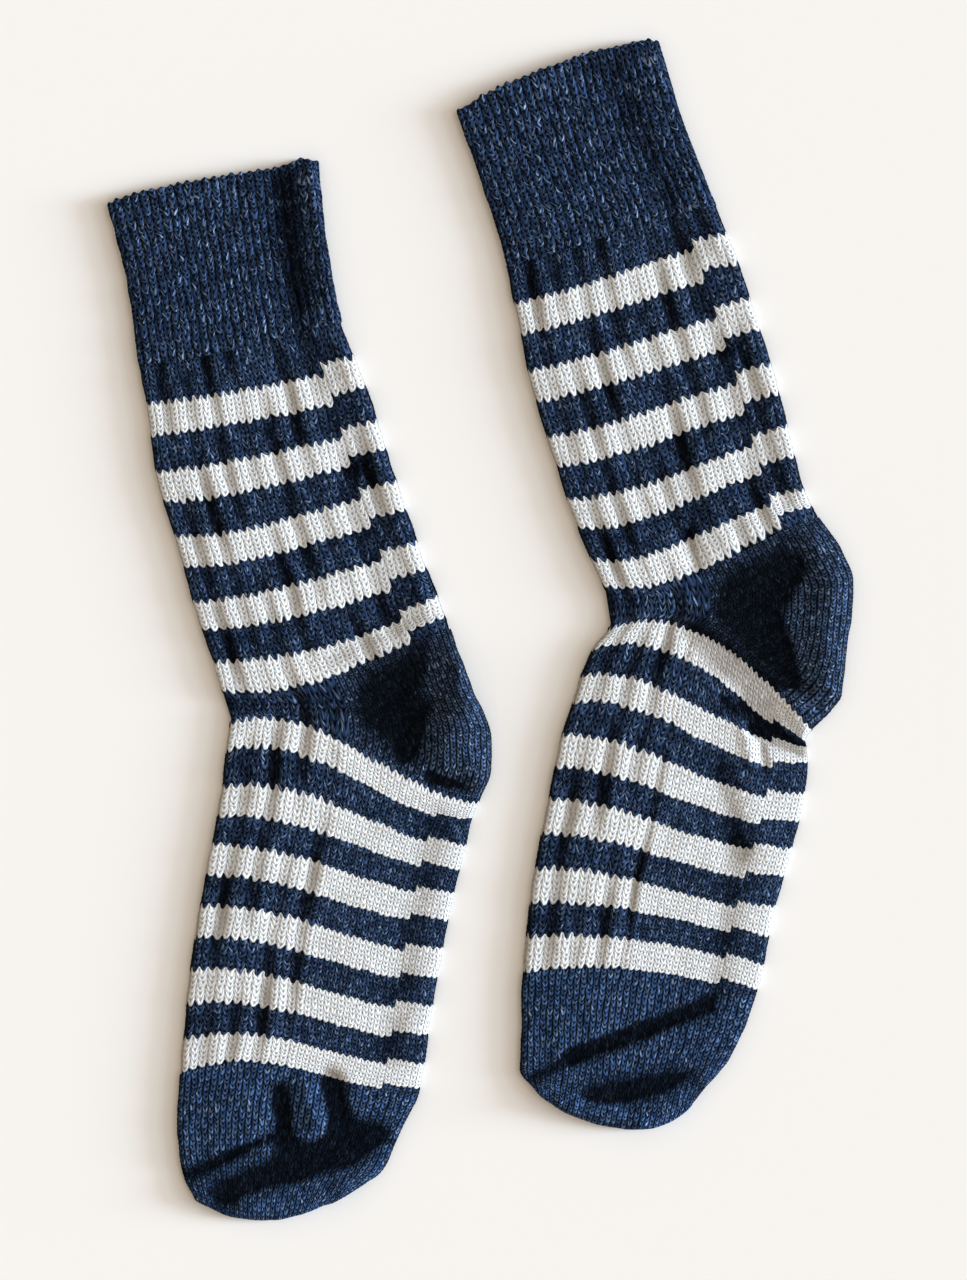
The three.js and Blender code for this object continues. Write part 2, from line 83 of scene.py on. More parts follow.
JOG_WALE = 22.5         # wale number of the line where the stripes step up towards the back
JOG_LEG, JOG_FOOT = 2.0, 1.5          # rows of that step
JOG_START, JOG_FULL = 104, 113        # rows over which it grows at the top of the foot

# Places round the tube of the lines of points on the rounds of the back and the front fold.
BACK_ROUND, FRONT_ROUND = np.arange(WALES, WALES + 1.1, 0.25), np.arange(LOOP - 1, LOOP, 0.25)
ROUND_REACH = 1.2       # how far from a fold the wide spacing of the lower layer starts

# Cells of mesh a stitch: along a row on the upper layer, plain and finer knit, and along a wale.
CELLS, FINE_CELLS, ROW_CELLS, HEEL_ROW_CELLS = 6, 4, 5, 4

# A section is one knitted row as it lies. (x0, y0) is its end on the front fold, (x1, y1) and (x2, y2) are
# one and two thirds of the way across, and (x3, y3) is its end on the back fold: row, x0, y0, ... x3, y3.
LEFT_SECTIONS = np.array([
    [0, -166.1, 189.6, -134.1, 198.0, -102.1, 203.3, -71.5, 209.1],
    [16, -157.2, 154.5, -127.5, 161.6, -97.7, 167.8, -67.5, 173.1],
    [32, -151.9, 118.1, -121.2, 122.1, -90.6, 129.6, -60.9, 137.2],
    [40, -149.2, 100.3, -117.2, 104.8, -85.3, 110.5, -52.9, 117.2],
    [53, -144.8, 70.6, -111.5, 75.0, -78.2, 82.1, -43.1, 89.2],
    [66, -136.3, 42.1, -103.0, 45.3, -69.7, 54.1, -35.1, 62.1],
    [79, -127.9, 12.8, -94.2, 17.7, -60.4, 26.6, -25.8, 35.5],
    [92, -119.5, -13.8, -85.7, -11.1, -52.0, -2.3, -16.5, 12.0],
    [98, -115.9, -26.7, -80.4, -25.3, -46.6, -12.9, -12.9, 0.9],
    [100, -112.8, -31.6, -76.8, -31.6, -39.5, -28.0, -3.6, -24.5],
    [102, -111.0, -36.0, -76.0, -36.4, -35.1, -40.4, 5.3, -49.3],
    [103, -111.0, -38.2, -75.5, -39.1, -34.7, -50.2, 4.9, -62.2],
    [104, -111.5, -40.9, -75.1, -41.8, -36.9, -60.4, 0.4, -74.6],
    [110, -113.2, -53.3, -76.8, -55.1, -39.1, -73.3, -3.6, -83.9],
    [116, -115.0, -68.9, -78.2, -72.0, -42.7, -85.7, -6.7, -97.7],
    [128, -119.5, -94.6, -83.5, -99.5, -48.0, -110.1, -12.0, -118.6],
    [140, -124.8, -122.1, -88.8, -125.7, -52.9, -135.9, -16.9, -143.9],
    [152, -129.2, -150.1, -92.8, -152.8, -56.9, -162.1, -21.3, -168.8],
    [164, -132.3, -181.6, -95.9, -179.9, -60.4, -187.8, -24.9, -194.9],
    [170, -133.7, -197.2, -98.2, -191.8, -63.1, -198.9, -27.1, -205.6],
    [180, -134.6, -218.0, -101.3, -216.3, -67.1, -219.8, -34.7, -220.7],
    [190, -132.8, -238.5, -103.0, -240.2, -73.3, -240.2, -43.1, -239.3],
    [200, -126.6, -252.7, -103.5, -261.5, -79.9, -259.3, -56.4, -249.1],
])
RIGHT_SECTIONS = np.array([
    [0, -11.1, 230.8, 19.1, 245.5, 49.7, 256.6, 79.9, 261.9],
    [16, 1.3, 195.8, 31.5, 206.4, 60.8, 216.6, 91.0, 225.1],
    [32, 11.5, 162.0, 43.5, 170.9, 74.6, 181.1, 105.2, 189.1],
    [40, 14.6, 145.2, 46.6, 153.6, 78.6, 164.2, 112.3, 172.2],
    [53, 20.4, 115.4, 53.7, 123.4, 87.4, 133.6, 122.5, 142.9],
    [66, 28.8, 85.7, 63.0, 93.7, 96.8, 104.8, 131.4, 114.5],
    [79, 38.2, 58.6, 71.5, 64.3, 104.3, 76.3, 138.1, 86.5],
    [92, 48.8, 31.5, 81.7, 35.5, 113.6, 49.7, 146.0, 59.0],
    [98, 54.1, 19.1, 87.0, 22.2, 119.0, 36.8, 150.5, 50.6],
    [99, 55.9, 16.0, 88.3, 19.1, 123.8, 27.5, 160.3, 36.4],
    [100, 57.2, 13.3, 89.7, 16.0, 127.8, 17.3, 166.0, 21.3],
    [102, 57.7, 7.5, 90.1, 8.8, 127.0, -0.0, 162.5, -12.0],
    [103, 57.7, 4.9, 89.2, 6.2, 123.0, -6.2, 160.7, -28.4],
    [104, 56.8, 1.7, 87.0, 4.0, 116.7, -11.1, 148.3, -43.1],
    [110, 49.7, -8.0, 83.0, -8.5, 114.1, -26.2, 144.7, -48.9],
    [116, 44.4, -19.6, 78.6, -24.9, 112.3, -40.9, 145.2, -52.0],
    [122, 40.8, -31.6, 76.3, -37.3, 111.4, -53.8, 145.6, -60.4],
    [128, 35.9, -46.2, 71.9, -52.9, 107.9, -67.5, 143.8, -74.6],
    [140, 30.2, -74.2, 66.6, -80.8, 102.1, -91.9, 138.1, -99.0],
    [152, 23.9, -105.3, 59.9, -108.4, 95.0, -117.2, 130.5, -125.2],
    [164, 20.0, -135.9, 55.9, -135.9, 90.5, -140.3, 125.6, -151.4],
    [170, 18.6, -152.3, 53.7, -149.7, 87.9, -153.2, 122.5, -162.1],
    [180, 18.2, -173.6, 51.0, -173.6, 83.4, -177.6, 115.9, -179.9],
    [190, 17.7, -194.1, 48.8, -198.5, 78.1, -201.2, 107.4, -194.9],
    [200, 24.4, -203.8, 44.4, -216.7, 74.6, -221.1, 97.2, -204.7],
])

# A fold is a rounded ridge or hollow of the upper layer: name, x0, y0, x1, y1, width, height.
LEFT_FOLDS = [
    ("cuff hollow", -87.1, 198.0, -78.6, 131.4, 6.7, -0.9),
    ("cuff back ridge", -76.0, 205.5, -64.4, 138.9, 3.6, 0.9),
    ("upper leg hollow", -72.0, 123.8, -56.9, 71.5, 5.3, -0.9),
    ("lower leg hollow", -56.9, 71.5, -34.7, 7.1, 5.8, -0.8),
    ("leg back ridge", -55.1, 113.2, -23.1, 13.7, 4.0, 0.7),
    ("leg front swell", -128.8, 93.7, -96.8, -4.0, 17.8, 0.5),
    ("heel hollow, upper", -42.2, -26.2, -24.4, -12.9, 11.5, -1.7),
    ("heel hollow, lower", -42.2, -37.3, -30.2, -46.2, 10.7, -1.7),
    ("heel rim, upper", -13.8, -10.7, -4.5, -32.9, 6.2, 1.9),
    ("heel rim, lower", -4.5, -32.9, -3.1, -64.0, 6.7, 2.1),
    ("under the heel", -22.2, -65.3, -6.2, -68.9, 2.7, -1.5),
    ("sole hollow", -21.3, -84.8, -40.9, -188.3, 6.7, -0.8),
    ("instep swell", -96.8, -75.1, -107.5, -177.2, 16.9, 0.6),
    ("toe fold, inner", -88.4, -204.7, -86.2, -234.9, 4.0, -1.8),
    ("toe fold, outer", -65.3, -200.3, -60.9, -220.7, 4.4, -1.6),
    ("toe ridge", -76.8, -202.9, -75.1, -222.5, 4.0, 0.7),
    ("toe crease", -127.9, -242.0, -94.2, -224.3, 2.7, -1.1),
    ("toe hollow, left", -112.8, -249.1, -83.5, -237.1, 6.2, -1.7),
    ("toe hollow, right", -83.5, -237.1, -48.0, -226.0, 6.7, -1.9),
    ("toe rim", -102.1, -256.2, -60.0, -249.6, 4.0, 0.9),
    ("toe rim, back", -60.0, -249.6, -36.4, -221.6, 4.0, 0.9),
]
RIGHT_FOLDS = [
    ("cuff hollow", 58.6, 249.1, 93.2, 171.4, 7.5, -0.7),
    ("cuff back ridge", 76.3, 255.7, 103.0, 184.7, 3.6, 0.7),
    ("upper leg hollow", 93.2, 166.9, 107.4, 124.7, 5.3, -0.8),
    ("middle hollow", 87.0, 84.8, 97.7, 31.5, 5.3, -0.9),
    ("lower leg hollow", 107.4, 124.7, 125.2, 67.0, 5.3, -0.8),
    ("leg back ridge", 111.9, 169.1, 143.4, 62.6, 4.0, 0.8),
    ("leg front swell", 35.5, 129.2, 64.4, 31.5, 16.9, 0.5),
    ("heel hollow, upper", 117.6, 18.2, 137.6, 31.5, 11.5, -1.7),
    ("heel hollow, lower", 116.3, 8.4, 135.4, -17.3, 10.7, -1.9),
    ("heel rim, upper", 147.4, 40.4, 157.6, 18.2, 6.7, 2.0),
    ("heel rim, lower", 155.4, 13.7, 152.7, -26.2, 7.1, 2.4),
    ("heel pouch end", 137.6, -32.9, 144.7, -40.4, 5.8, 2.2),
    ("first stripe end", 113.2, -18.2, 142.1, -45.3, 4.4, 1.4),
    ("pouch crease, inner", 107.4, -30.7, 120.7, -43.1, 2.7, -1.0),
    ("pouch crease", 120.7, -43.5, 142.1, -52.4, 2.7, -2.6),
    ("sole hollow", 106.5, -61.7, 114.5, -97.3, 5.3, -1.0),
    ("sole hollow, low", 114.5, -97.3, 104.3, -159.4, 6.7, -0.8),
    ("instep swell", 63.0, -26.2, 45.7, -128.3, 16.9, 0.6),
    ("toe crease, front", 23.5, -198.1, 40.8, -188.3, 2.7, -1.2),
    ("toe crease, middle", 40.8, -188.3, 71.0, -177.2, 3.6, -1.8),
    ("toe crease, back", 71.0, -177.2, 99.9, -166.1, 3.6, -1.6),
    ("toe swell", 71.0, -163.9, 35.5, -177.2, 7.1, 0.8),
    ("toe hollow", 48.8, -207.4, 93.2, -199.4, 5.3, -1.2),
    ("toe rim", 35.5, -210.0, 71.0, -218.9, 3.6, 0.9),
    ("toe rim, back", 71.0, -218.9, 113.2, -183.8, 4.0, 0.9),
]

# Finer creases of the same kind, which only the dressed cloth has. With the folds they also set where shade is painted
# into the cloth's colour.
LEFT_CREASES = [
    ("cuff valley", -88.5, 198.0, -81.0, 150.0, 7.0, -0.45),
    ("cuff ridge", -75.0, 205.0, -66.0, 150.0, 4.0, 1.2),
    ("stripe in the shade", -66.0, -12.0, -30.0, 5.0, 5.0, -0.7),
    ("heel dome", -9.0, -15.0, -14.0, -52.0, 9.0, 3.6),
    ("heel dome edge, upper", -15.5, -17.0, -20.5, -33.0, 4.5, -1.2),
    ("heel dome edge, lower", -20.5, -33.0, -33.0, -54.0, 5.0, -1.4),
    ("ankle band", -108.0, -31.5, -68.0, -33.0, 4.5, -0.6),
    ("under the dome", -22.0, -64.0, -8.0, -68.0, 3.2, -1.4),
    ("toe fold, inner", -89.0, -206.0, -87.0, -229.0, 3.2, -1.3),
    ("toe fold, outer", -67.0, -198.0, -64.0, -220.0, 4.2, -1.3),
    ("toe hollow, back", -63.5, -221.0, -38.0, -225.5, 4.6, -1.2),
    ("toe hollow, middle", -82.0, -232.0, -58.0, -230.0, 7.0, -1.1),
    ("toe crease, front", -131.0, -240.0, -93.0, -224.0, 2.2, -0.8),
    ("toe hollow, low", -115.0, -250.0, -98.0, -243.0, 5.0, -0.8),
    ("toe ridge", -78.0, -204.0, -72.0, -217.0, 4.5, 1.2),
    ("toe swell", -110.0, -214.0, -98.0, -221.0, 9.0, 0.7),
    ("toe rim", -104.0, -254.0, -62.0, -246.0, 3.6, 0.9),
]
RIGHT_CREASES = [
    ("heel dome", 148.0, 14.0, 149.0, -14.0, 10.0, 0.8),
    ("heel dome edge, upper", 145.0, 31.0, 134.0, 15.0, 4.5, -1.2),
    ("heel dome edge, middle", 128.5, 5.3, 130.5, -6.0, 5.0, -1.4),
    ("heel dome edge, lower", 130.5, -6.0, 141.0, -26.0, 4.5, -1.5),
    ("leg crease", 92.0, 43.0, 96.0, 27.0, 2.2, -0.8),
    ("stripe in the shade", 94.0, 0.0, 133.0, -36.0, 6.0, -1.6),
    ("stripe in the shade, end", 106.0, -12.0, 139.0, -43.0, 4.5, -2.0),
    ("pouch crease, middle", 117.6, -31.0, 130.0, -46.5, 3.6, -1.5),
    ("pouch crease, end", 130.0, -46.5, 143.0, -51.0, 3.0, -1.5),
    ("tuck ridge", 117.0, -42.0, 120.0, -58.0, 3.0, 1.1),
    ("tuck furrow", 124.5, -50.0, 126.0, -61.0, 2.2, -0.9),
    ("toe crease", 40.8, -188.3, 99.9, -166.1, 3.0, -1.0),
    ("toe hollow", 50.0, -206.0, 92.0, -199.0, 6.0, -0.9),
    ("toe rim", 36.0, -209.0, 71.0, -217.5, 3.6, 0.8),
]

class Sock:
    """One sock's tables. heel_share is where across the sock the heel begins, behind the band on the ankle,
    tuck is the row, reach and size, all in rows, of the tuck below the heel, and ear the rows by which the
    cuff's edge stands up at its back ridge."""

    def __init__(self, side, sections, folds, creases, heel_share, tuck, ear):
        self.side = side
        self.sections = sections
        self.folds = folds + creases
        self.heel_u = 1 + (WALES - 2) * heel_share
        self.heel_wale = round(self.heel_u) + 0.5
        self.tuck = tuck
        self.ear = ear
        self.seed = 3 if side == "left" else 8


SOCKS = [
    Sock("left", LEFT_SECTIONS, LEFT_FOLDS, LEFT_CREASES, 13 / 27, (111.0, 4.0, 0.0), 1.1),
    Sock("right", RIGHT_SECTIONS, RIGHT_FOLDS, RIGHT_CREASES, 12 / 27, (111.5, 4.0, 1.3), 0.4),
]


# ---- the form of the cloth ----

def along_rows(sections, row):
    """The sections' eight numbers at each knitted row: a cubic between neighbouring sections that never swings
    past them, its slope at a section being the weighted harmonic mean of the slopes on both sides."""
    knots, values = sections[:, 0], sections[:, 1:]
    steps = np.diff(knots)[:, None]
    chords = np.diff(values, axis=0) / steps
    before, after = chords[:-1], chords[1:]
    w_before, w_after = 2 * steps[1:] + steps[:-1], steps[1:] + 2 * steps[:-1]
    same_way = before * after > 0
    safe_before, safe_after = np.where(same_way, before, 1), np.where(same_way, after, 1)
    mean = 3 * (steps[1:] + steps[:-1]) / (w_before / safe_before + w_after / safe_after)
    slopes = np.vstack([chords[:1], np.where(same_way, mean, 0), chords[-1:]])
    i = np.clip(np.searchsorted(knots, row) - 1, 0, len(knots) - 2)
    span = (knots[i + 1] - knots[i])[:, None]
    u = (row - knots[i])[:, None] / span
    bend = u * u * (3 - 2 * u)
    return (values[i] * (1 - bend) + values[i + 1] * bend
            + span * u * (1 - u) * ((1 - u) * slopes[i] - u * slopes[i + 1]))


def across(sock, row, t):
    """Point (x, y) of a knitted row, t going from 0 at the front fold to 1 at the back fold: the cubic through
    the section's four points."""
    row, t = np.broadcast_arrays(np.asarray(row, float), np.asarray(t, float))
    ends = along_rows(sock.sections, row.ravel()).reshape(row.shape + (4, 2))
    a, b, c = t - 1 / 3, t - 2 / 3, t - 1
    weights = np.stack([-4.5 * a * b * c, 13.5 * t * b * c, -13.5 * t * a * c, 4.5 * t * a * b], axis=-1)
    return (weights[..., None] * ends).sum(axis=-2)


def waves(xy, seed, lengths, count=7):
    """Smooth unevenness between about -1 and 1: the sum of sine waves of the given lengths in mm, running in
    seeded directions."""
    rng = np.random.default_rng(seed)
    total = np.zeros(xy.shape[:-1])
    for _ in range(count):
        turn, phase, length = rng.uniform(0, 2 * np.pi), rng.uniform(0, 2 * np.pi), rng.uniform(*lengths)
        k = 2 * np.pi / length
        total += np.sin(k * (xy[..., 0] * np.cos(turn) + xy[..., 1] * np.sin(turn)) + phase)
    return total * 1.4 / count


def near_folds(sock, xy, spread=1.0):
    """Each fold's height, and its rounded profile at the points: exp(-(distance to its line / width)^2)."""
    for _, x0, y0, x1, y1, width, rise in sock.folds:
        start, line = np.array([x0, y0]), np.array([x1 - x0, y1 - y0])
        u = np.clip(((xy - start) @ line) / (line @ line), 0, 1)
        away = np.linalg.norm(xy - start - u[..., None] * line, axis=-1)
        yield rise, np.exp(-((away / width / spread) ** 2))


def plain_height(sock, t, xy):
    """Height of the upper layer's plain face: a flat middle, lower side folds and each fold's height times its
    profile, held above the height that the slit needs."""
    height = EDGE_HEIGHT + BODY_RISE * (1 - np.abs(2 * t - 1) ** MIDDLE_FLATNESS)
    for rise, near in near_folds(sock, xy):
        height = height + rise * near
    height = height + 0.22 * waves(xy, sock.seed + 40, (11, 30))
    spare = height - MIN_HEIGHT
    return MIN_HEIGHT + (spare + np.hypot(spare, FLOOR_SOFTNESS)) / 2


def hollow(sock, xy):
    """How deep in a hollow a point lies, from 0 to 1, as the mask of the shade painted there: the sum over the
    folds of -height / 1.4 mm, by the same rule with a little wider profiles, where ridges count half as much again."""
    total = np.zeros(xy.shape[:-1])
    for rise, near in near_folds(sock, xy, HOLLOW_SPREAD):
        total -= rise / FULL_HOLLOW * (1 if rise < 0 else RIDGE_SHARE) * near
    return np.clip(total, 0, 1)


def unfold(u):
    """Where the place u round the tube lies. u runs from 0 at the front fold over the top to WALES at the back
    fold and on underneath to LOOP. Gives the share across, the angle round a fold, 1 above or -1 below, and
    the distance w from the front fold in wales."""
    lap = np.mod(u, LOOP)
    layer = np.where(lap <= WALES, 1.0, -1.0)
    w = np.where(lap <= WALES, lap, LOOP - lap)
    angle = np.clip(np.minimum(w, WALES - w), 0, 1) * np.pi / 2
    return np.clip((w - 1) / (WALES - 2), 0, 1), angle, layer, w


def toe_close(row):
    """Share of its height that the sock keeps near the toe's end, where the two layers round into each other."""
    s = np.clip((row - (TOE_END - TOE_ROUND)) / TOE_ROUND, 0, 1)
    return np.sqrt(1.02 - s * s)


def cloth(sock, row, u, inset=0.0):
    """The cloth's plain face, or the face one inset inside it, at a knitted row and a place u round the tube.
    Two flat layers join in a round at each side fold."""
    row, u = np.broadcast_arrays(np.asarray(row, float), np.asarray(u, float))
    share, angle, layer, _ = unfold(u)
    width = np.linalg.norm(across(sock, row, 1.0) - across(sock, row, 0.0), axis=-1)
    edge = FOLD_REACH / width
    outward = (FOLD_REACH - inset) * np.cos(angle) / width
    t = edge + (1 - 2 * edge) * share + np.where(share < 0.5, -1, 1) * outward
    xy = across(sock, row, t)
    wobble = np.stack([waves(xy, sock.seed + i, (7, 22)) for i in (10, 20)], axis=-1)
    top = plain_height(sock, t, xy)
    ceiling, floor = top - inset, inset
    z = (ceiling + floor) / 2 + (ceiling - floor) / 2 * layer * np.sin(angle)
    z = EDGE_HEIGHT / 2 + (z - EDGE_HEIGHT / 2) * toe_close(row)
    return np.concatenate([xy + 0.32 * wobble, z[..., None]], axis=-1)


def outward_normal(sock, row, u):
    """Unit normal of the plain face, from small steps along the wale and along the row."""
    along = cloth(sock, row + 0.06, u) - cloth(sock, row - 0.06, u)
    over = cloth(sock, row, u + 0.06) - cloth(sock, row, u - 0.06)
    normal = np.cross(along, over)
    return normal / np.linalg.norm(normal, axis=-1, keepdims=True)


# ---- the knit ----

def smooth(low, high, x):
    """0 below low, 1 above high and a smooth step between."""
    s = np.clip((x - low) / (high - low), 0, 1)
    return s * s * (3 - 2 * s)


def stitch(wale, row, fill=1.0, slant=SLANT):
    """Height from 0 to 1 of the knit. Each wale is a chain of V shapes pointing to the toe: a leg is the band
    between two whole values of p = row + slant * (1 - cos(pi * x ** 1.3)) / 2, where x is 0 at the wale's centre
    and 1 at its side. Between the loops the knit has small pits, at the centre and at the side of each wale, each
    exp(-(distance along x / 0.22)^2 - (distance along p / 0.26)^2), a soft groove between legs, and one between
    wales. A chain keeps to a share fill of its wale."""
    x = np.minimum(np.abs(np.mod(wale + 0.5, 1) - 0.5) * 2 / fill, 1)
    p = row + slant * (0.5 - 0.5 * np.cos(np.pi * x ** 1.3))
    pits = sum(
        np.exp(-(((x - at_x) / PIT_HALF) ** 2) - ((np.mod(p - at_p + 0.5, 1) - 0.5) / PIT_LENGTH) ** 2)
        for at_x, at_p in PITS)
    groove = (1 - np.sin(np.pi * np.mod(p, 1))) * np.sin(np.pi * x)
    return np.maximum(1 - 0.85 * pits - 0.5 * groove - 0.35 * x ** 6 - 0.15 * (1 - x) ** 4, 0), p


def unevenness(wale, row, seed):
    """A seeded number from 0 to 1 for each stitch."""
    table = np.random.default_rng(seed).random((512, 512))
    return table[np.mod(np.rint(wale).astype(int), 512), np.mod(np.floor(row).astype(int), 512)]


def drift(wale, row, whole, seed):
    """Seeded number from -1 to 1 that changes smoothly from stitch to stitch, the same again after whole wales."""
    table = np.random.default_rng(seed).uniform(-1, 1, (whole, 512))
    i, j = np.floor(wale).astype(int), np.floor(row).astype(int)
    s, t = smooth(0, 1, wale - i), smooth(0, 1, row - j)
    near, far = [
        table[np.mod(i + k, whole), np.mod(j, 512)] * (1 - t) + table[np.mod(i + k, whole), np.mod(j + 1, 512)] * t
        for k in (0, 1)]
    return near * (1 - s) + far * s


def leg_rib(sock, wale, row, u):
    """Height that the wide rib adds: two proud wales, then a furrow whose depth changes along the sock."""
    away = np.abs(np.mod(wale + RIB_WALES / 2, RIB_WALES) - RIB_WALES / 2)
    furrow = 1 - smooth(0.0, 1.3, away)
    rib = np.rint(wale / RIB_WALES)
    depth = 0.8 + 0.45 * np.sin(rib * 2.1 + row / 9.0 + sock.seed) + 0.3 * np.sin(rib * 5.3 - row / 4.0)
    return -furrow * depth


def pattern_shift(row):
    """Rows by which the pattern is moved, so that each stripe's scallops stay inside the piece that has it."""
    at = [MOUTH, 86, LEG_END, FOOT_START, 116, 158, FOOT_END]
    return -SLANT * np.interp(row, at, [0.5, 0.5, 0, 1, 0.5, 0.5, 0])


def jog(row):
    """Rows by which the stripes step up behind the jog line."""
    return np.where(row < (LEG_END + FOOT_START) / 2, JOG_LEG, JOG_FOOT * smooth(JOG_START, JOG_FULL, row))


def tuck(sock, row, wale):
    """Rows by which the pattern moves towards the toe where the cloth is tucked in below the heel."""
    middle, wide, most = sock.tuck
    return most * np.exp(-(((row - middle) / wide) ** 2)) * smooth(18, 27, np.where(wale > SOLE_END, 68 - wale, wale))


class Knit:
    """How one kind of piece is knitted. numbers(u) gives the wale number at each place round the tube, and
    columns the places of its lines of points."""

    looseness = 1.0

    def __init__(self, sock, relief, rib=0.0, sole_end=WALES, rib_below=None, fill=1.0):
        self.sock, self.sole_end = sock, sole_end
        self.relief, self.rib, self.rib_below, self.fill = relief, rib, rib_below, fill
        self.whole = 2 * sole_end
        self.knots, self.knot_wales = [0, sock.heel_u, WALES], [0, sock.heel_wale, sole_end]

    def numbers(self, u):
        """Wale number at u: even up to the heel's seam and, at another spacing, from there to the back fold; the
        lower layer mirrors it."""
        lap = np.mod(u, LOOP)
        w = np.where(lap <= WALES, lap, LOOP - lap)
        wale = np.interp(w, self.knots, self.knot_wales)
        return np.where(lap <= WALES, wale, 2 * self.sole_end - wale)

    def places(self, wale):
        """Place u of a wale number, the inverse of numbers()."""
        mirrored = wale > self.sole_end
        wale = np.where(mirrored, 2 * self.sole_end - wale, wale)
        u = np.interp(wale, self.knot_wales, self.knots)
        return np.where(mirrored, LOOP - u, u)

    def columns(self, front_cells, back_cells):
        """Places of the lines of points, in order round the tube from the back fold underneath to the front fold
        and back over the top: many on the upper layer, one at each wale's side on the lower one."""
        seam, end = self.sock.heel_wale, self.sole_end
        front = np.linspace(0, seam, int(round(seam * front_cells)), endpoint=False)
        back = np.linspace(seam, end, int(round((end - seam) * back_cells)), endpoint=False)
        return self.round_tube(self.places(np.arange(end + 0.5, 2 * end)), self.places(np.concatenate([front, back])))

    @staticmethod
    def round_tube(under, over):
        """Places of the lines of points round a tube, of which under and over are those of its two layers."""
        under = under[(under > WALES + ROUND_REACH) & (under < LOOP - ROUND_REACH)]
        return np.concatenate([BACK_ROUND, under, FRONT_ROUND, LOOP + over])

    def row_number(self, row, wale):
        """Row of the pattern at a knitted row, for a wale: with the pattern's shift and the stripes' step."""
        line = JOG_WALE if self.sole_end == WALES else self.jog_line
        behind = (wale > line) & (wale < 2 * self.sole_end - line)
        return row + pattern_shift(row) + jog(row) * behind - tuck(self.sock, row, wale)

    @property
    def jog_line(self):
        """Wale number of the jog line on the sole, at a wale's side."""
        return math.floor(float(self.numbers(np.array(JOG_WALE)))) + 0.5

    def ribbed(self, row, u):
        """1 where the knit is ribbed, 0 on the sole, heel and toe, fading out beside the heel's front seam."""
        row, u = np.broadcast_arrays(row, u)
        seam, w = self.sock.heel_u, unfold(u)[3]
        near = smooth(92, 98, row) * (1 - smooth(104, 109, row)) * smooth(seam - 3, seam - 1, w)
        if self.rib_below is None:
            return 1 - near * (1 - smooth(seam + 1, seam + 4, w))
        return (1 - near) * (1 - smooth(seam - 0.6, seam, w)) * (1 - smooth(*self.rib_below, row))

    def slant(self, row, u):
        """Rows that a leg climbs."""
        return SLANT * (SOLE_SLANT + (1 - SOLE_SLANT) * self.ribbed(row, u))

    def ribs(self, wale, row, u):
        """Height that the ribs add at a point."""
        return self.rib * self.ribbed(row, u) * leg_rib(self.sock, wale, row, u)

    def recessed(self, row, u):
        """How far a point lies down in a furrow, from 0 to 1: the mask of the furrow's painted shade."""
        return -self.ribs(self.numbers(u), row, u)

    def loosened(self, wale, number):
        """Wale and row numbers of a point after its stitch has drifted."""
        return [
            value + self.looseness * reach * drift(wale, number, self.whole, self.sock.seed + seed)
            for value, reach, seed in ((wale, DRIFT_WALES, 80), (number, DRIFT_ROWS, 81))]

    def raised(self, row, u):
        """Height of the knit over the plain face. The lower layer only sinks in, so that it rests flat."""
        row, u = np.broadcast_arrays(row, u)
        wale = self.numbers(u)
        height, p = stitch(*self.loosened(wale, self.row_number(row, wale)), self.fill, self.slant(row, u))
        _, angle, layer, _ = unfold(u)
        lift = (1 + layer * np.sin(angle)) / 2
        uneven = 0.75 + 0.5 * unevenness(wale, p, self.sock.seed)
        return self.relief * uneven * (height - 1 + 0.35 * lift) + self.ribs(wale, row, u)


class CuffKnit(Knit):
    """One by one rib: knit wales at whole numbers, with purl furrows between."""

    looseness = 1.4

    def __init__(self, sock, relief, rib):
        super().__init__(sock, relief, rib, fill=CUFF_FILL)
        self.whole = 2 * CUFF_WALES

    def numbers(self, u):
        return 0.5 + np.mod(u, LOOP) * CUFF_WALES / WALES

    def columns(self, front_cells, back_cells):
        over = LOOP + np.arange(CUFF_WALES * front_cells) * WALES / (CUFF_WALES * front_cells)
        under = np.arange(WALES + 1, LOOP - 1, WALES / CUFF_WALES / 2)
        return np.concatenate([BACK_ROUND[:-1], under[under < LOOP - ROUND_REACH], FRONT_ROUND, over])

    def row_number(self, row, wale):
        """Neighbouring wales of the rib don't line up, so each is moved by its own share of a row."""
        own = np.random.default_rng(self.sock.seed + 60).random(256)
        return row * 0.96 + own[np.mod(np.rint(wale).astype(int), 2 * CUFF_WALES)]

    def ribs(self, wale, row, u):
        swing = 1 + 0.35 * np.sin(np.rint(wale) * 1.7 + row / 5.0)
        return self.rib * swing * (np.cos(2 * np.pi * wale) - 1) / 2

    def recessed(self, row, u):
        return row * 0


class ToeKnit(Knit):
    """Plain knit, finer than the leg's, with its wales evenly across."""

    def __init__(self, sock, relief):
        super().__init__(sock, relief, sole_end=TOE_WALES, rib_below=(0, 1))

    def numbers(self, u):
        return np.mod(u, LOOP) * TOE_WALES / WALES

    def places(self, wale):
        return wale * WALES / TOE_WALES

    def columns(self, front_cells, back_cells):
        over = np.arange(TOE_WALES * back_cells) * WALES / (TOE_WALES * back_cells)
        return self.round_tube(self.places(np.arange(TOE_WALES + 0.5, 2 * TOE_WALES)), over)


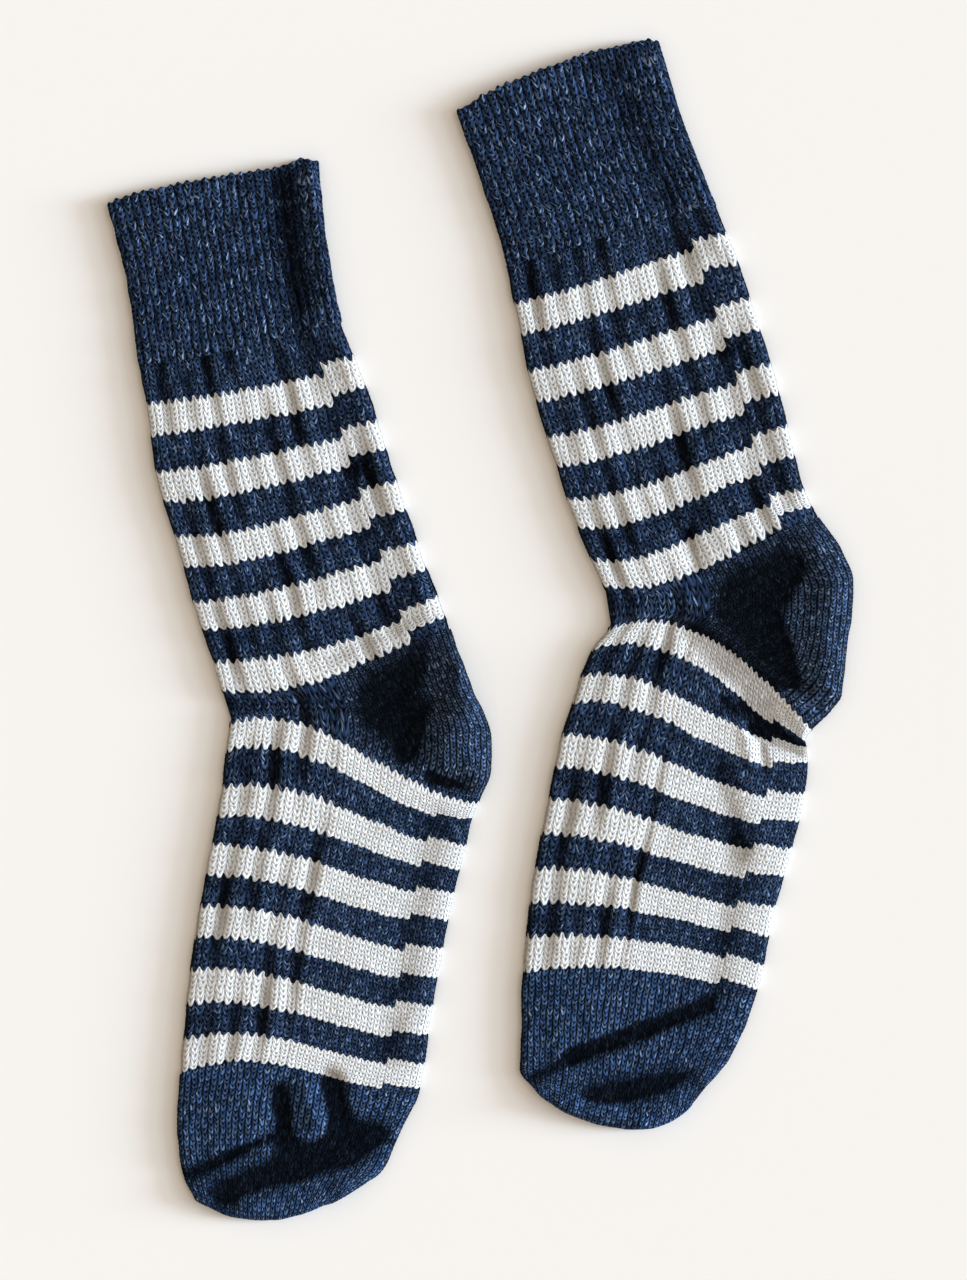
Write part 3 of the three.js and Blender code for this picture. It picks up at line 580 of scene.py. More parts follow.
class HeelKnit(Knit):
    """Plain knit whose wales run round the heel from the leg to the foot. Each wale has as many stitches as its
    own length holds, so the rows fan out from the heel's front seam."""

    def __init__(self, sock, relief):
        super().__init__(sock, relief, sole_end=HEEL_WALES, rib_below=(0, 1))
        row = np.linspace(LEG_END, FOOT_START, 40)[:, None]
        line = cloth(sock, row, self.places(np.arange(2 * HEEL_WALES + 1.0))[None, :])
        length = np.linalg.norm(np.diff(line, axis=0), axis=-1).sum(axis=0)
        self.stitches = np.maximum(np.rint(length / HEEL_COURSE), 6)

    def numbers(self, u):
        seam = self.sock.heel_u
        w = np.where(u <= WALES, u, LOOP - u)
        wale = (w - seam) / (WALES - seam) * HEEL_WALES
        return np.where(u <= WALES, wale, 2 * HEEL_WALES - wale)

    def places(self, wale):
        seam = self.sock.heel_u
        w = np.where(wale <= HEEL_WALES, wale, 2 * HEEL_WALES - wale)
        u = seam + w / HEEL_WALES * (WALES - seam)
        return np.where(wale <= HEEL_WALES, u, LOOP - u)

    def columns(self, front_cells, back_cells):
        over = np.arange(HEEL_WALES * back_cells) / back_cells
        under = np.arange(HEEL_WALES + 3.5, 2 * HEEL_WALES)
        near_fold = HEEL_WALES + np.arange(0, 3.5, 0.5)
        return self.places(np.concatenate([over, near_fold, under, [2 * HEEL_WALES]]))

    def row_number(self, row, wale):
        share = (row - LEG_END) / (FOOT_START - LEG_END)
        return share * self.stitches[np.clip(np.rint(wale).astype(int), 0, 2 * HEEL_WALES)]


# ---- meshes ----

class Shell:
    """Points and faces of one piece. Each point keeps its place (row, u) on the sock for the pattern."""

    def __init__(self):
        self.points, self.places, self.quads, self.triangles, self.rims = [], [], [], [], []
        self.count = 0

    def add(self, points, row, u):
        """Adds a grid of points and gives their numbers in the same shape."""
        shape = points.shape[:-1]
        row, u = np.broadcast_to(row, shape), np.broadcast_to(u, shape)
        self.points.append(points.reshape(-1, 3))
        self.places.append(np.stack([row.ravel(), u.ravel()], axis=-1))
        numbers = self.count + np.arange(row.size).reshape(shape)
        self.count += row.size
        return numbers

    def grid(self, at, closed, inside=False):
        """Faces of a grid of point numbers, closed round the tube or not, facing out or into the sock."""
        right = np.roll(at, -1, axis=1) if closed else at[:, 1:]
        left = at if closed else at[:, :-1]
        corners = [left[:-1], left[1:], right[1:], right[:-1]]
        if inside:
            corners.reverse()
        self.quads.append(np.stack([c.ravel() for c in corners], axis=-1))

    def layer(self, knit, row, u, inset=0.0, closed=True, above=None):
        """Adds one face of the cloth with its faces, the knitted outer one or the plain one inset inside it,
        and gives its point numbers. It hangs from the points above, if there are any."""
        points = cloth(knit.sock, row, u, inset) if inset else knitted(knit, row, u)
        at = self.add(points, row, u)
        if above is not None:
            at = np.concatenate([above, at])
        self.grid(at, closed, inside=bool(inset))
        return at

    def between(self, first, first_at, second, second_at):
        """Triangles between two lines of points by their positions, each step along taking one triangle."""
        beside_first = second[np.searchsorted(second_at[1:], first_at[1:] - 1e-9)]
        beside_second = first[np.searchsorted(first_at[1:], second_at[1:] + 1e-9)]
        self.triangles.append(np.stack([first[:-1], first[1:], beside_first], axis=-1))
        self.triangles.append(np.stack([second[1:], second[:-1], beside_second], axis=-1))

    def strip(self, a, b):
        """Triangles between two chains of points that run side by side. a and b are lists of arrays of point
        numbers, one a leg of the chain, each starting where the last one ended. A point's position is its leg's
        number and its share of that leg."""
        chains = []
        for legs in (a, b):
            numbers = np.concatenate([leg[:-1] for leg in legs] + [legs[-1][-1:]])
            spots = [k + np.linspace(0, 1, len(leg))[:-1] for k, leg in enumerate(legs)]
            chains += [numbers, np.concatenate(spots + [[len(legs)]])]
        self.between(*chains)

    def wall(self, outer, inner):
        """Wall round an opening, and sharp edges along it."""
        self.strip(outer, inner)
        self.rims.extend([np.concatenate(outer), np.concatenate(inner)])

    def lid(self, over, under, over_at, under_at, inside=False):
        """Closes a flat end between its upper and lower points, in the order of their positions."""
        lines = [over, over_at, under, under_at] if inside else [under, under_at, over, over_at]
        self.between(*lines)

    def build(self, name, knit, material):
        """Makes the mesh object. The knit map holds each corner's wale and row numbers, taken for the wale that
        the face lies in, because the pattern steps from one wale to the next."""
        points = np.concatenate(self.points) * MM
        points[:, 2] = np.maximum(points[:, 2], 0)
        places = np.concatenate(self.places)
        triangles = np.concatenate(self.triangles)
        a, b, c = triangles.T
        triangles = triangles[(a != b) & (b != c) & (a != c)]
        quads = np.concatenate(self.quads)
        corners = np.concatenate([quads.ravel(), triangles.ravel()])
        starts = np.concatenate([np.arange(len(quads)) * 4, 4 * len(quads) + np.arange(len(triangles)) * 3])
        mesh = bpy.data.meshes.new(name)
        mesh.vertices.add(len(points))
        mesh.vertices.foreach_set("co", points.ravel().astype(np.float32))
        mesh.loops.add(len(corners))
        mesh.loops.foreach_set("vertex_index", corners.astype(np.int32))
        mesh.polygons.add(len(starts))
        mesh.polygons.foreach_set("loop_start", starts.astype(np.int32))
        mesh.update(calc_edges=True)
        mesh.shade_smooth()

        knit_map = np.concatenate([
            self.corner_numbers(knit, places, quads), self.corner_numbers(knit, places, triangles)])
        layer = mesh.uv_layers.new(name="knit")
        layer.data.foreach_set("uv", knit_map.ravel().astype(np.float32))
        row, u = places.T
        # Painted shade: the hollows' mask on the upper layer, the rib furrows and the side folds darken the yarn's
        # colour where shade falls, through the hollow attribute.
        depth = hollow(knit.sock, points[:, :2] / MM) * (points[:, 2] > EDGE_HEIGHT / 2 * MM)
        side = np.cos(unfold(u)[1]) ** 2
        depth = np.clip(np.maximum(depth, knit.recessed(row, u)) + side, 0, 1)
        for label, values in (("hollow", depth), ("slant", knit.slant(row, u))):
            stored = mesh.attributes.new(label, "FLOAT", "POINT")
            stored.data.foreach_set("value", values.astype(np.float32))
        at_rim = np.zeros(len(points), bool)
        if self.rims:
            at_rim[np.concatenate(self.rims)] = True
        edges = np.empty(2 * len(mesh.edges), np.int32)
        mesh.edges.foreach_get("vertices", edges)
        sharp = mesh.attributes.new("sharp_edge", "BOOLEAN", "EDGE")
        sharp.data.foreach_set("value", at_rim[edges.reshape(-1, 2)].all(axis=1))
        mesh.materials.append(material)
        piece = bpy.data.objects.new(name, mesh)
        bpy.context.scene.collection.objects.link(piece)
        return piece

    @staticmethod
    def corner_numbers(knit, places, faces):
        """Wale and row numbers at the faces' corners. A face over the start of the loop counts on past it."""
        row, u = places[faces, 0], places[faces, 1]
        wale, whole = knit.numbers(u), knit.whole
        wale = np.where(wale.max(axis=1, keepdims=True) - wale > whole / 2, wale + whole, wale)
        middle = wale.mean(axis=1, keepdims=True)
        number = knit.row_number(row, np.broadcast_to(np.mod(middle, whole), row.shape))
        return np.stack(knit.loosened(wale, number), axis=-1).reshape(-1, 2)


def knitted(knit, row, u):
    """Points of the outer face with its knit raised along the normal."""
    row, u = np.broadcast_arrays(row, u)
    return cloth(knit.sock, row, u) + outward_normal(knit.sock, row, u) * knit.raised(row, u)[..., None]


def rows_between(first, last):
    """Knitted rows of the lines of points from first to last, as a column."""
    return np.linspace(first, last, int(round((last - first) * ROW_CELLS)) + 1)[:, None]


def inner_rows(first, last, count):
    """The few rows that the plain inner face needs, as a column."""
    return np.linspace(first, last, count)[:, None]


def ring(line):
    """Point numbers once round the tube and back to the first."""
    return np.append(line, line[0])


def make_cuff(sock, settings, material):
    """Ribbed tube with a bumpy cast-on edge. The edge is a half round, from the inner to the outer face."""
    knit = CuffKnit(sock, settings.cuff_relief, settings.cuff_rib)
    u = knit.columns(CELLS, CELLS)[None, :]
    shell = Shell()
    w = unfold(u)[3]
    ear = np.exp(-(((w - WALES + 2.6) / 1.7) ** 2))
    edge = CORNER * (1 - smooth(0, 2.4, np.minimum(w, WALES - w))) - sock.ear * ear
    top = MOUTH + LIP + edge
    face, normal = cloth(sock, top, u), outward_normal(sock, top, u)
    out = -(cloth(sock, top + 0.1, u) - cloth(sock, top, u))
    out /= np.linalg.norm(out, axis=-1, keepdims=True)
    raised = knit.raised(top, u)[..., None]
    wale = knit.numbers(u)
    own = unevenness(wale, wale * 0, sock.seed + 5)[..., None]
    bump = (0.4 + 1.1 * np.cos(np.pi * wale)[..., None] ** 2) * (0.4 + 1.3 * own)
    lip = []
    for turn in np.radians([180, 150, 120, 90, 60, 30]):
        depth = (raised - WALL) / 2 + (raised + WALL) / 2 * np.cos(turn)
        lip.append(face + normal * depth + out * bump * WALL / 2 * np.sin(turn))
    lip_rows = np.array([[1.0], [0.4], [0.0], [-0.4], [-0.6], [-0.4]]) * 0.5
    row = rows_between(MOUTH + LIP, CUFF_END)
    row = row + edge * (1 - smooth(MOUTH + LIP, 7, row))
    rows = np.concatenate([np.broadcast_to(lip_rows, (len(lip), u.size)), row])
    at = shell.add(np.concatenate(lip + [knitted(knit, row, u)]), rows, u)
    shell.grid(at, True)
    inner = shell.layer(knit, np.array([[3.0], [10.0], [20.0], [CUFF_END]]), u, WALL, above=at[:1])
    shell.wall([ring(at[-1])[::-1]], [ring(inner[-1])[::-1]])
    return shell.build(sock.side + "_cuff_knit", knit, material)


def make_leg(sock, settings, material):
    """Wide-ribbed tube, which runs on below as a band over the ankle in front of the heel."""
    knit = Knit(sock, settings.relief, settings.rib)
    columns = knit.columns(CELLS, CELLS)
    u = columns[None, :]
    shell = Shell()
    first = int(np.argmin(np.abs(columns - (LOOP - sock.heel_u))))
    last = int(np.argmin(np.abs(columns - (LOOP + sock.heel_u))))
    band = slice(first, last + 1)
    faces = []
    for inset, tube_rows, band_rows in (
        (0, rows_between(CUFF_END, LEG_END), rows_between(LEG_END, FOOT_START)[1:]),
        (WALL, inner_rows(CUFF_END, LEG_END, 8), inner_rows(FOOT_START, FOOT_START, 1)),
    ):
        at = shell.layer(knit, tube_rows, u, inset)
        below = shell.layer(knit, band_rows, u[:, band], inset, closed=False, above=at[-1:, band])
        faces.append((at, below))
    shell.wall(*[[ring(tube[0])] for tube, _ in faces])
    walls = []
    for tube, part in faces:
        back = np.concatenate([tube[-1, last:], tube[-1, :first + 1]])
        walls.append([part[-1, ::-1], part[::-1, 0], back[::-1], part[:, -1]])
    shell.wall(*walls)
    return shell.build(sock.side + "_leg_knit", knit, material)


def make_heel(sock, settings, material):
    """Pouch round the back fold, from the ankle band's seam above to the same seam below."""
    knit = HeelKnit(sock, settings.heel_relief)
    u = knit.columns(FINE_CELLS, FINE_CELLS)[None, :]
    shell = Shell()
    most = int(knit.stitches.max() * HEEL_ROW_CELLS)
    row = np.linspace(LEG_END, FOOT_START, most + 1)[:, None]
    at = shell.layer(knit, row, u, closed=False)
    inner = shell.layer(knit, inner_rows(LEG_END, FOOT_START, 13), u, WALL, closed=False)
    shell.wall(*[[g[0], g[:, -1], g[-1, ::-1], g[::-1, 0]] for g in (at, inner)])
    return shell.build(sock.side + "_heel_knit", knit, material)


def make_foot(sock, settings, material):
    """Tube with the wide rib on the instep and finer plain knit on the sole."""
    knit = Knit(sock, settings.relief, settings.rib, SOLE_END, RIB_TO_THE_END)
    u = knit.columns(CELLS, FINE_CELLS)[None, :]
    shell = Shell()
    at = shell.layer(knit, rows_between(FOOT_START, FOOT_END), u)
    inner = shell.layer(knit, inner_rows(FOOT_START, FOOT_END, 14), u, WALL)
    for i, order in ((0, 1), (-1, -1)):
        shell.wall([ring(at[i])[::order]], [ring(inner[i])[::order]])
    return shell.build(sock.side + "_foot_knit", knit, material)


def make_toe(sock, settings, material):
    """Tube that narrows, whose two layers round into each other at its end."""
    knit = ToeKnit(sock, settings.toe_relief)
    columns = knit.columns(CELLS, FINE_CELLS)
    u = columns[None, :]
    shell = Shell()
    rounding = TOE_END - TOE_ROUND + TOE_ROUND * np.sin(np.radians([12, 24, 36, 48, 60, 70, 80, 90]))[:, None]
    row = np.concatenate([rows_between(FOOT_END, TOE_END - TOE_ROUND), rounding])
    at = shell.layer(knit, row, u)
    inner = shell.layer(knit, inner_rows(FOOT_END, TOE_END - TOE_ROUND - 0.1, 12), u, WALL)
    shell.wall([ring(at[0])], [ring(inner[0])])
    front = int(np.argmin(np.abs(columns - LOOP)))
    for grid, inside in ((at, False), (inner, True)):
        over, over_at = np.append(grid[-1, front:], grid[-1, 0]), np.append(columns[front:], LOOP + WALES) - LOOP
        under, under_at = grid[-1, front::-1], LOOP - columns[front::-1]
        shell.lid(over, under, over_at, under_at, inside)
    return shell.build(sock.side + "_toe_knit", knit, material)


# ---- materials ----

class Nodes:
    """Short hand for making and joining nodes. An input given as a socket is linked, and as a value is set."""

    def __init__(self, tree):
        self.tree = tree

    def add(self, kind, inputs=(), **settings):
        node = self.tree.nodes.new(kind)
        for name, value in settings.items():
            setattr(node, name, value)
        for key, value in dict(inputs).items():
            if isinstance(value, bpy.types.NodeSocket):
                self.tree.links.new(value, node.inputs[key])
            else:
                node.inputs[key].default_value = value
        return node

    def math(self, operation, *values, clamp=False):
        return self.add("ShaderNodeMath", enumerate(values), operation=operation, use_clamp=clamp).outputs[0]

    def mix(self, factor, a, b, blend="MIX"):
        node = self.add("ShaderNodeMix", {0: factor, 6: a, 7: b}, data_type="RGBA", blend_type=blend)
        return node.outputs[2]

    def group(self, tree, inputs):
        return self.add("ShaderNodeGroup", inputs, node_tree=tree)


def new_group(name, inputs, outputs):
    """An empty shader group with named sockets, its helper and its two ends."""
    tree = bpy.data.node_groups.new(name, "ShaderNodeTree")
    for socket, kind in inputs:
        tree.interface.new_socket(socket, in_out="INPUT", socket_type="NodeSocket" + kind)
    for socket, kind in outputs:
        tree.interface.new_socket(socket, in_out="OUTPUT", socket_type="NodeSocket" + kind)
    nodes = Nodes(tree)
    return tree, nodes, nodes.add("NodeGroupInput").outputs, nodes.add("NodeGroupOutput").inputs


def stitch_group():
    """The stitch() formula as a group: which leg of which stitch a point lies on, and its height."""
    tree, n, given, put = new_group(
        "Knit stitch",
        [("Knit", "Vector"), ("Fill", "Float"), ("Slant", "Float")],
        [("Row", "Float"), ("Height", "Float"), ("Side", "Float"), ("Own", "Float")])
    split = n.add("ShaderNodeSeparateXYZ", {0: given["Knit"]}).outputs
    off = n.math("SUBTRACT", n.math("FRACT", n.math("ADD", split["X"], 0.5)), 0.5)
    x = n.math("MINIMUM", n.math("DIVIDE", n.math("MULTIPLY", n.math("ABSOLUTE", off), 2.0), given["Fill"]), 1.0)
    half_turn = n.math("MULTIPLY", x, math.pi)
    wide_turn = n.math("MULTIPLY", n.math("POWER", x, 1.3), math.pi)
    climb = n.math("MULTIPLY", n.math("SUBTRACT", 0.5, n.math("MULTIPLY", n.math("COSINE", wide_turn), 0.5)),
                   given["Slant"])
    row = n.math("ADD", split["Y"], climb)
    groove = n.math("MULTIPLY", n.math("SINE", half_turn), n.math(
        "SUBTRACT", 1.0, n.math("SINE", n.math("MULTIPLY", n.math("FRACT", row), math.pi))))
    sunk = n.math("ADD", n.math("MULTIPLY", groove, 0.5), n.math("ADD", n.math(
        "MULTIPLY", n.math("POWER", x, 6.0), 0.35), n.math(
        "MULTIPLY", n.math("POWER", n.math("SUBTRACT", 1.0, x), 4.0), 0.15)))
    for at_x, at_p in PITS:
        over = n.math("POWER", n.math("ABSOLUTE", n.math("DIVIDE", n.math("SUBTRACT", x, float(at_x)), PIT_HALF)), 2.0)
        wrapped = n.math("SUBTRACT", n.math("FRACT", n.math("ADD", row, 0.5 - at_p)), 0.5)
        along = n.math("POWER", n.math("ABSOLUTE", n.math("DIVIDE", wrapped, PIT_LENGTH)), 2.0)
        pit = n.math("EXPONENT", n.math("MULTIPLY", n.math("ADD", over, along), -1.0))
        sunk = n.math("ADD", sunk, n.math("MULTIPLY", pit, 0.85))
    height = n.math("MAXIMUM", n.math("SUBTRACT", 1.0, sunk), 0.0)
    leg = n.math("FLOOR", n.math("MULTIPLY", n.math("ADD", split["X"], 0.5), 2.0))
    spot = n.add("ShaderNodeCombineXYZ", {"X": leg, "Y": n.math("FLOOR", row)}).outputs[0]
    own = n.add("ShaderNodeTexWhiteNoise", {"Vector": spot}, noise_dimensions="2D").outputs["Value"]
    for name, socket in (("Row", row), ("Height", height), ("Side", x), ("Own", own)):
        tree.links.new(socket, put[name])
    return tree


def stripe_group():
    """1 where a row is white: five stripes of six rows, thirteen apart, on the leg, and six, twelve apart, on
    the foot."""
    tree, n, given, put = new_group("Stripes", [("Row", "Float")], [("White", "Float")])
    total = None
    for start, end, step in ((40, 98, 13), (104, 170, 12)):
        into = n.math("MODULO", n.math("SUBTRACT", given["Row"], float(start)), float(step))
        white = n.math("LESS_THAN", into, 6.0)
        within = n.math("MULTIPLY", n.math("GREATER_THAN", given["Row"], float(start)),
                        n.math("LESS_THAN", given["Row"], float(end)))
        white = n.math("MULTIPLY", white, within)
        total = white if total is None else n.math("ADD", total, white)
    tree.links.new(total, put["White"])
    return tree


def yarn_group():
    """Heathered yarn: fibres that run along each leg of a stitch, dark and light ones among the plain, a tone of
    its own for each leg, painted shade deep between the yarns, and painted shade where the mask marks hollows,
    furrows and side folds."""
    tree, n, given, put = new_group(
        "Heathered yarn",
        [("Knit", "Vector"), ("Side", "Float"), ("Height", "Float"), ("Own", "Float"), ("Plain", "Color"),
         ("Light", "Color"), ("Shade colour", "Color"), ("Light fibres", "Float"), ("Shade mask", "Float"), ("Shadow", "Float"),
         ("Uneven", "Float"), ("Strands", "Float"), ("Fine", "Float")],
        [("Colour", "Color"), ("Fibres", "Float")])
    split = n.add("ShaderNodeSeparateXYZ", {0: given["Knit"]}).outputs
    steep = n.math("MULTIPLY", n.math("ADD", split["Y"], n.math("MULTIPLY", given["Side"], 1.7)), given["Fine"])
    row = n.math("MULTIPLY", split["Y"], given["Fine"])
    leg = n.math("MULTIPLY", n.math("FLOOR", n.math("MULTIPLY", split["X"], 2.0)), 5.3)
    noises = []
    for across, along, detail in ((3.4, 1.5, 3.0), (1.7, 0.9, 2.0)):
        spot = n.add("ShaderNodeCombineXYZ", {
            "X": n.math("MULTIPLY", steep, across), "Y": n.math("MULTIPLY", row, along),
            "Z": n.math("ADD", leg, across)}).outputs[0]
        noises.append(n.add("ShaderNodeTexNoise", {
            "Vector": spot, "Scale": 1.0, "Detail": detail, "Roughness": 0.6}).outputs[0])
    fibres, flecks = noises
    light = n.add("ShaderNodeMapRange", {
        "Value": flecks, "From Min": 0.54, "From Max": 0.68, "To Min": 0.0, "To Max": given["Light fibres"]},
        interpolation_type="SMOOTHSTEP").outputs[0]
    lit = n.mix(light, given["Plain"], given["Light"])
    own = n.math("MULTIPLY", n.math("SUBTRACT", n.math(
        "MULTIPLY", n.math("POWER", given["Own"], 2.0), 2.4), 0.75), given["Uneven"])
    strand = n.math("MULTIPLY", n.math("SUBTRACT", fibres, 0.5), given["Strands"])
    # Painted shade in the hollows: the mask times the shadow strength takes colour away.
    unshaded_share = n.math("SUBTRACT", 1.0, n.math("MULTIPLY", given["Shade mask"], given["Shadow"]))
    shade = n.math("MAXIMUM", n.math("ADD", 1.0, n.math("ADD", own, strand)), 0.12)
    toned = n.mix(1.0, lit, n.add("ShaderNodeCombineColor", {0: shade, 1: shade, 2: shade}).outputs[0], "MULTIPLY")
    # Painted shade deep between the yarns: the low parts of each stitch turn towards the deep colour.
    depth = n.add("ShaderNodeMapRange", {"Value": given["Height"], "From Min": 0.3, "From Max": 0.95},
                  interpolation_type="SMOOTHSTEP").outputs[0]
    depth = n.math("MULTIPLY", depth, unshaded_share)
    colour = n.mix(depth, n.mix(1.0, toned, given["Shade colour"], "MULTIPLY"), toned)
    # More painted shade in the hollows, warmed by the deep colour.
    colour = n.mix(n.math("MULTIPLY", given["Shade mask"], 0.4), colour, n.mix(1.0, colour, given["Shade colour"], "MULTIPLY"))
    tree.links.new(colour, put["Colour"])
    tree.links.new(fibres, put["Fibres"])
    return tree


def knit_material(name, groups, yarns, navy, fill=1.0, striped=False, fine=1.0, furrow=0.0):
    """Matt knit in navy heather, with the white stripes where its rows call for them. fine is how fine its fibres
    are for its stitches, and furrow how much shade is painted between its wales."""
    material = bpy.data.materials.new(name)
    material.use_nodes = True
    n = Nodes(material.node_tree)
    shader = material.node_tree.nodes["Principled BSDF"]
    knit = n.add("ShaderNodeUVMap", uv_map="knit").outputs[0]
    slant = n.add("ShaderNodeAttribute", attribute_name="slant").outputs["Fac"]
    stitches = n.group(groups["stitch"], {"Knit": knit, "Fill": fill, "Slant": slant}).outputs
    # The mask of painted shade in hollows, furrows and side folds.
    shade_mask = n.add("ShaderNodeAttribute", attribute_name="hollow").outputs["Fac"]
    # Painted shade between the wales: the stitch's height is lowered there for the colour only.
    gap_shade = n.math("MULTIPLY", n.math("POWER", stitches["Side"], 3.0), furrow)
    same = {"Knit": knit, "Side": stitches["Side"], "Height": n.math("SUBTRACT", stitches["Height"], gap_shade),
            "Own": stitches["Own"], "Shade mask": shade_mask, "Fine": fine}
    # Both yarns take the painted shade: the navy by the shadow setting, the white by 0.85.
    dark = n.group(groups["yarn"], {
        **same, "Plain": (*navy, 1), "Light": (*yarns.fleck, 1), "Shade colour": (*yarns.navy_painted_shade, 1),
        "Light fibres": yarns.fleck_share, "Shadow": yarns.shadow, "Uneven": 0.6, "Strands": 3.2}).outputs
    pale = n.group(groups["yarn"], {
        **same, "Plain": (*yarns.marl, 1), "Light": (*yarns.marl_light, 1), "Shade colour": (*yarns.marl_painted_shade, 1),
        "Light fibres": 0.5, "Shadow": 0.85, "Uneven": 0.07, "Strands": 0.25}).outputs
    colour = dark["Colour"]
    if striped:
        white = n.group(groups["stripes"], {"Row": stitches["Row"]}).outputs[0]
        colour = n.mix(white, colour, pale["Colour"])
    n.tree.links.new(colour, shader.inputs["Base Color"])
    relief = n.math("ADD", n.math("MULTIPLY", stitches["Height"], 0.7), n.math("MULTIPLY", dark["Fibres"], 0.55))
    bump = n.add("ShaderNodeBump", {"Height": relief, "Strength": 1.0, "Distance": 0.0005})
    n.tree.links.new(bump.outputs[0], shader.inputs["Normal"])
    shader.inputs["Roughness"].default_value = 0.88
    shader.inputs["Specular IOR Level"].default_value = 0.03
    shader.inputs["Sheen Weight"].default_value = yarns.sheen
    shader.inputs["Sheen Roughness"].default_value = 0.45
    shader.inputs["Sheen Tint"].default_value = (0.75, 0.82, 1.0, 1)
    return material


def plain_material(name, colour, roughness):
    material = bpy.data.materials.new(name)
    material.use_nodes = True
    shader = material.node_tree.nodes["Principled BSDF"]
    shader.inputs["Base Color"].default_value = (*colour, 1)
    shader.inputs["Roughness"].default_value = roughness
    shader.inputs["Specular IOR Level"].default_value = 0.0
    return material


def find_material(name):
    """One of the knit materials, made the first time it is asked for."""
    known = bpy.data.materials.get(name)
    if known:
        return known
    yarns = bpy.context.scene.sock_yarns
    if "Knit stitch" not in bpy.data.node_groups:
        stitch_group(), stripe_group(), yarn_group()
    groups = {key: bpy.data.node_groups[found] for key, found in (
        ("stitch", "Knit stitch"), ("stripes", "Stripes"), ("yarn", "Heathered yarn"))}
    if name == "Striped cloth":
        return knit_material(name, groups, yarns, yarns.navy, striped=True)
    if name == "Cuff cloth":
        return knit_material(name, groups, yarns, yarns.navy, fill=CUFF_FILL, fine=0.75)
    navy = yarns.heel_lit_navy if name == "Heel cloth" else yarns.toe_lit_navy
    return knit_material(name, groups, yarns, navy, fine=0.62, furrow=0.4)


# ---- settings ----

def colour(name, description, default):
    return FloatVectorProperty(name=name, description=description, subtype="COLOR", min=0, max=1, default=default)


def share(name, description, default):
    return FloatProperty(name=name, description=description, subtype="FACTOR", min=0, max=1, default=default)


def angle(name, description, degrees):
    return FloatProperty(name=name, description=description, subtype="ANGLE", default=math.radians(degrees))


def distance(name, description, default):
    return FloatProperty(name=name, description=description, subtype="DISTANCE", default=default)


def amount(name, description, default, most=100.0):
    return FloatProperty(name=name, description=description, default=default, min=0, max=most)


class SockYarns(bpy.types.PropertyGroup):
    """Colours of the yarns, with the colours and strength of the shade painted into them."""

    navy: colour("Navy", "Plain fibres of the navy yarn", (0.021, 0.043, 0.099))
    # Lighter copies of the same navy yarn: painted light for the lit rims of the heel and the toe.
    heel_lit_navy: colour("Heel navy", "Plain fibres of the heel's yarn", (0.038, 0.068, 0.136))
    toe_lit_navy: colour("Toe navy", "Plain fibres of the toe's yarn", (0.036, 0.078, 0.180))
    # Painted shade: the share of the navy's colour left deep between the yarns and in the hollows.
    navy_painted_shade: colour(
        "Between navy yarns", "Share of the colour left deep between navy yarns", (0.07, 0.065, 0.06))
    fleck: colour("Light fibres", "Light fibres in the navy yarn", (0.205, 0.28, 0.40))
    fleck_share: share("Share of light fibres", "How far the light fibres show", 0.8)
    marl: colour("White", "Plain fibres of the white yarn", (0.875, 0.925, 0.965))
    marl_light: colour("Bright white", "Brightest fibres of the white yarn", (0.90, 0.935, 0.96))
    # Painted shade: the warm share of the white's colour left deep between the yarns and in the hollows.
    marl_painted_shade: colour(
        "Between white yarns", "Share of the colour left deep between white yarns", (0.54, 0.485, 0.43))
    # Painted shade: how much the hollows, furrows and side folds are darkened.
    shadow: share("Darker hollows", "How much darker the shade-painted knit is deep in the hollows", 0.96)
    sheen: share("Fuzz", "Soft light that the fine fibres catch", 0.015)


class SockKnit(bpy.types.PropertyGroup):
    """Heights of the knit, in millimetres."""

    relief: amount("Stitch height", "Relief of a stitch on the leg and foot, in mm", 0.40, 1)
    toe_relief: amount("Toe stitch height", "Relief of a stitch on the toe, in mm", 0.38, 1)
    heel_relief: amount("Heel stitch height", "Relief of a stitch on the heel, in mm", 0.34, 1)
    rib: amount("Rib depth", "Depth of the furrows between the wide ribs, in mm", 0.75, 1.2)
    cuff_relief: amount("Cuff stitch height", "Relief of a stitch on the cuff, in mm", 0.5, 1)
    cuff_rib: amount("Cuff rib depth", "Depth of the cuff's purl furrows, in mm", 0.4, 1.2)


class SockStage(bpy.types.PropertyGroup):
    """The floor, the light and the camera."""

    floor: colour("Floor", "Colour of the floor", (0.95, 0.92, 0.88))
    low_strength: amount("Low light", "Strength of the lowest light", 5.4)
    low_height: angle("Low light's height", "Angle of the lowest light above the floor", 9.5)
    low_softness: angle("Low light's softness", "How wide the lowest light looks", 16)
    side_strength: amount("Side light", "Strength of the middle light", 1.9)
    side_height: angle("Side light's height", "Angle of the middle light above the floor", 20)
    side_softness: angle("Side light's softness", "How wide the middle light looks", 24)
    high_strength: amount("High light", "Strength of the highest light", 0.72)
    high_height: angle("High light's height", "Angle of the highest light above the floor", 45)
    high_softness: angle("High light's softness", "How wide the highest light looks", 50)
    light_side: angle("Light's side", "Direction that the lights come from, from +X towards +Y", 2)
    light_colour: colour("Light's colour", "Colour of the lights", (0.70, 0.83, 0.98))
    fill: colour("Fill", "Light from all round", (0.53, 0.45, 0.36))
    camera_height: distance("Camera height", "Height of the camera over the floor", 1.6)
    view_height: distance(
        "View height", "Length of floor that the picture shows from top to bottom", 0.5683)


# ---- operators ----

def dress(kind, build, material_name):
    """Makes one kind of piece for both socks, each in place of its node, and gives it its cloth's material."""
    settings = bpy.context.scene.sock_knit
    for sock in SOCKS:
        piece = build(sock, settings, find_material(material_name))
        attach(piece, "root")
        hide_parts(sock.side + "_" + kind)


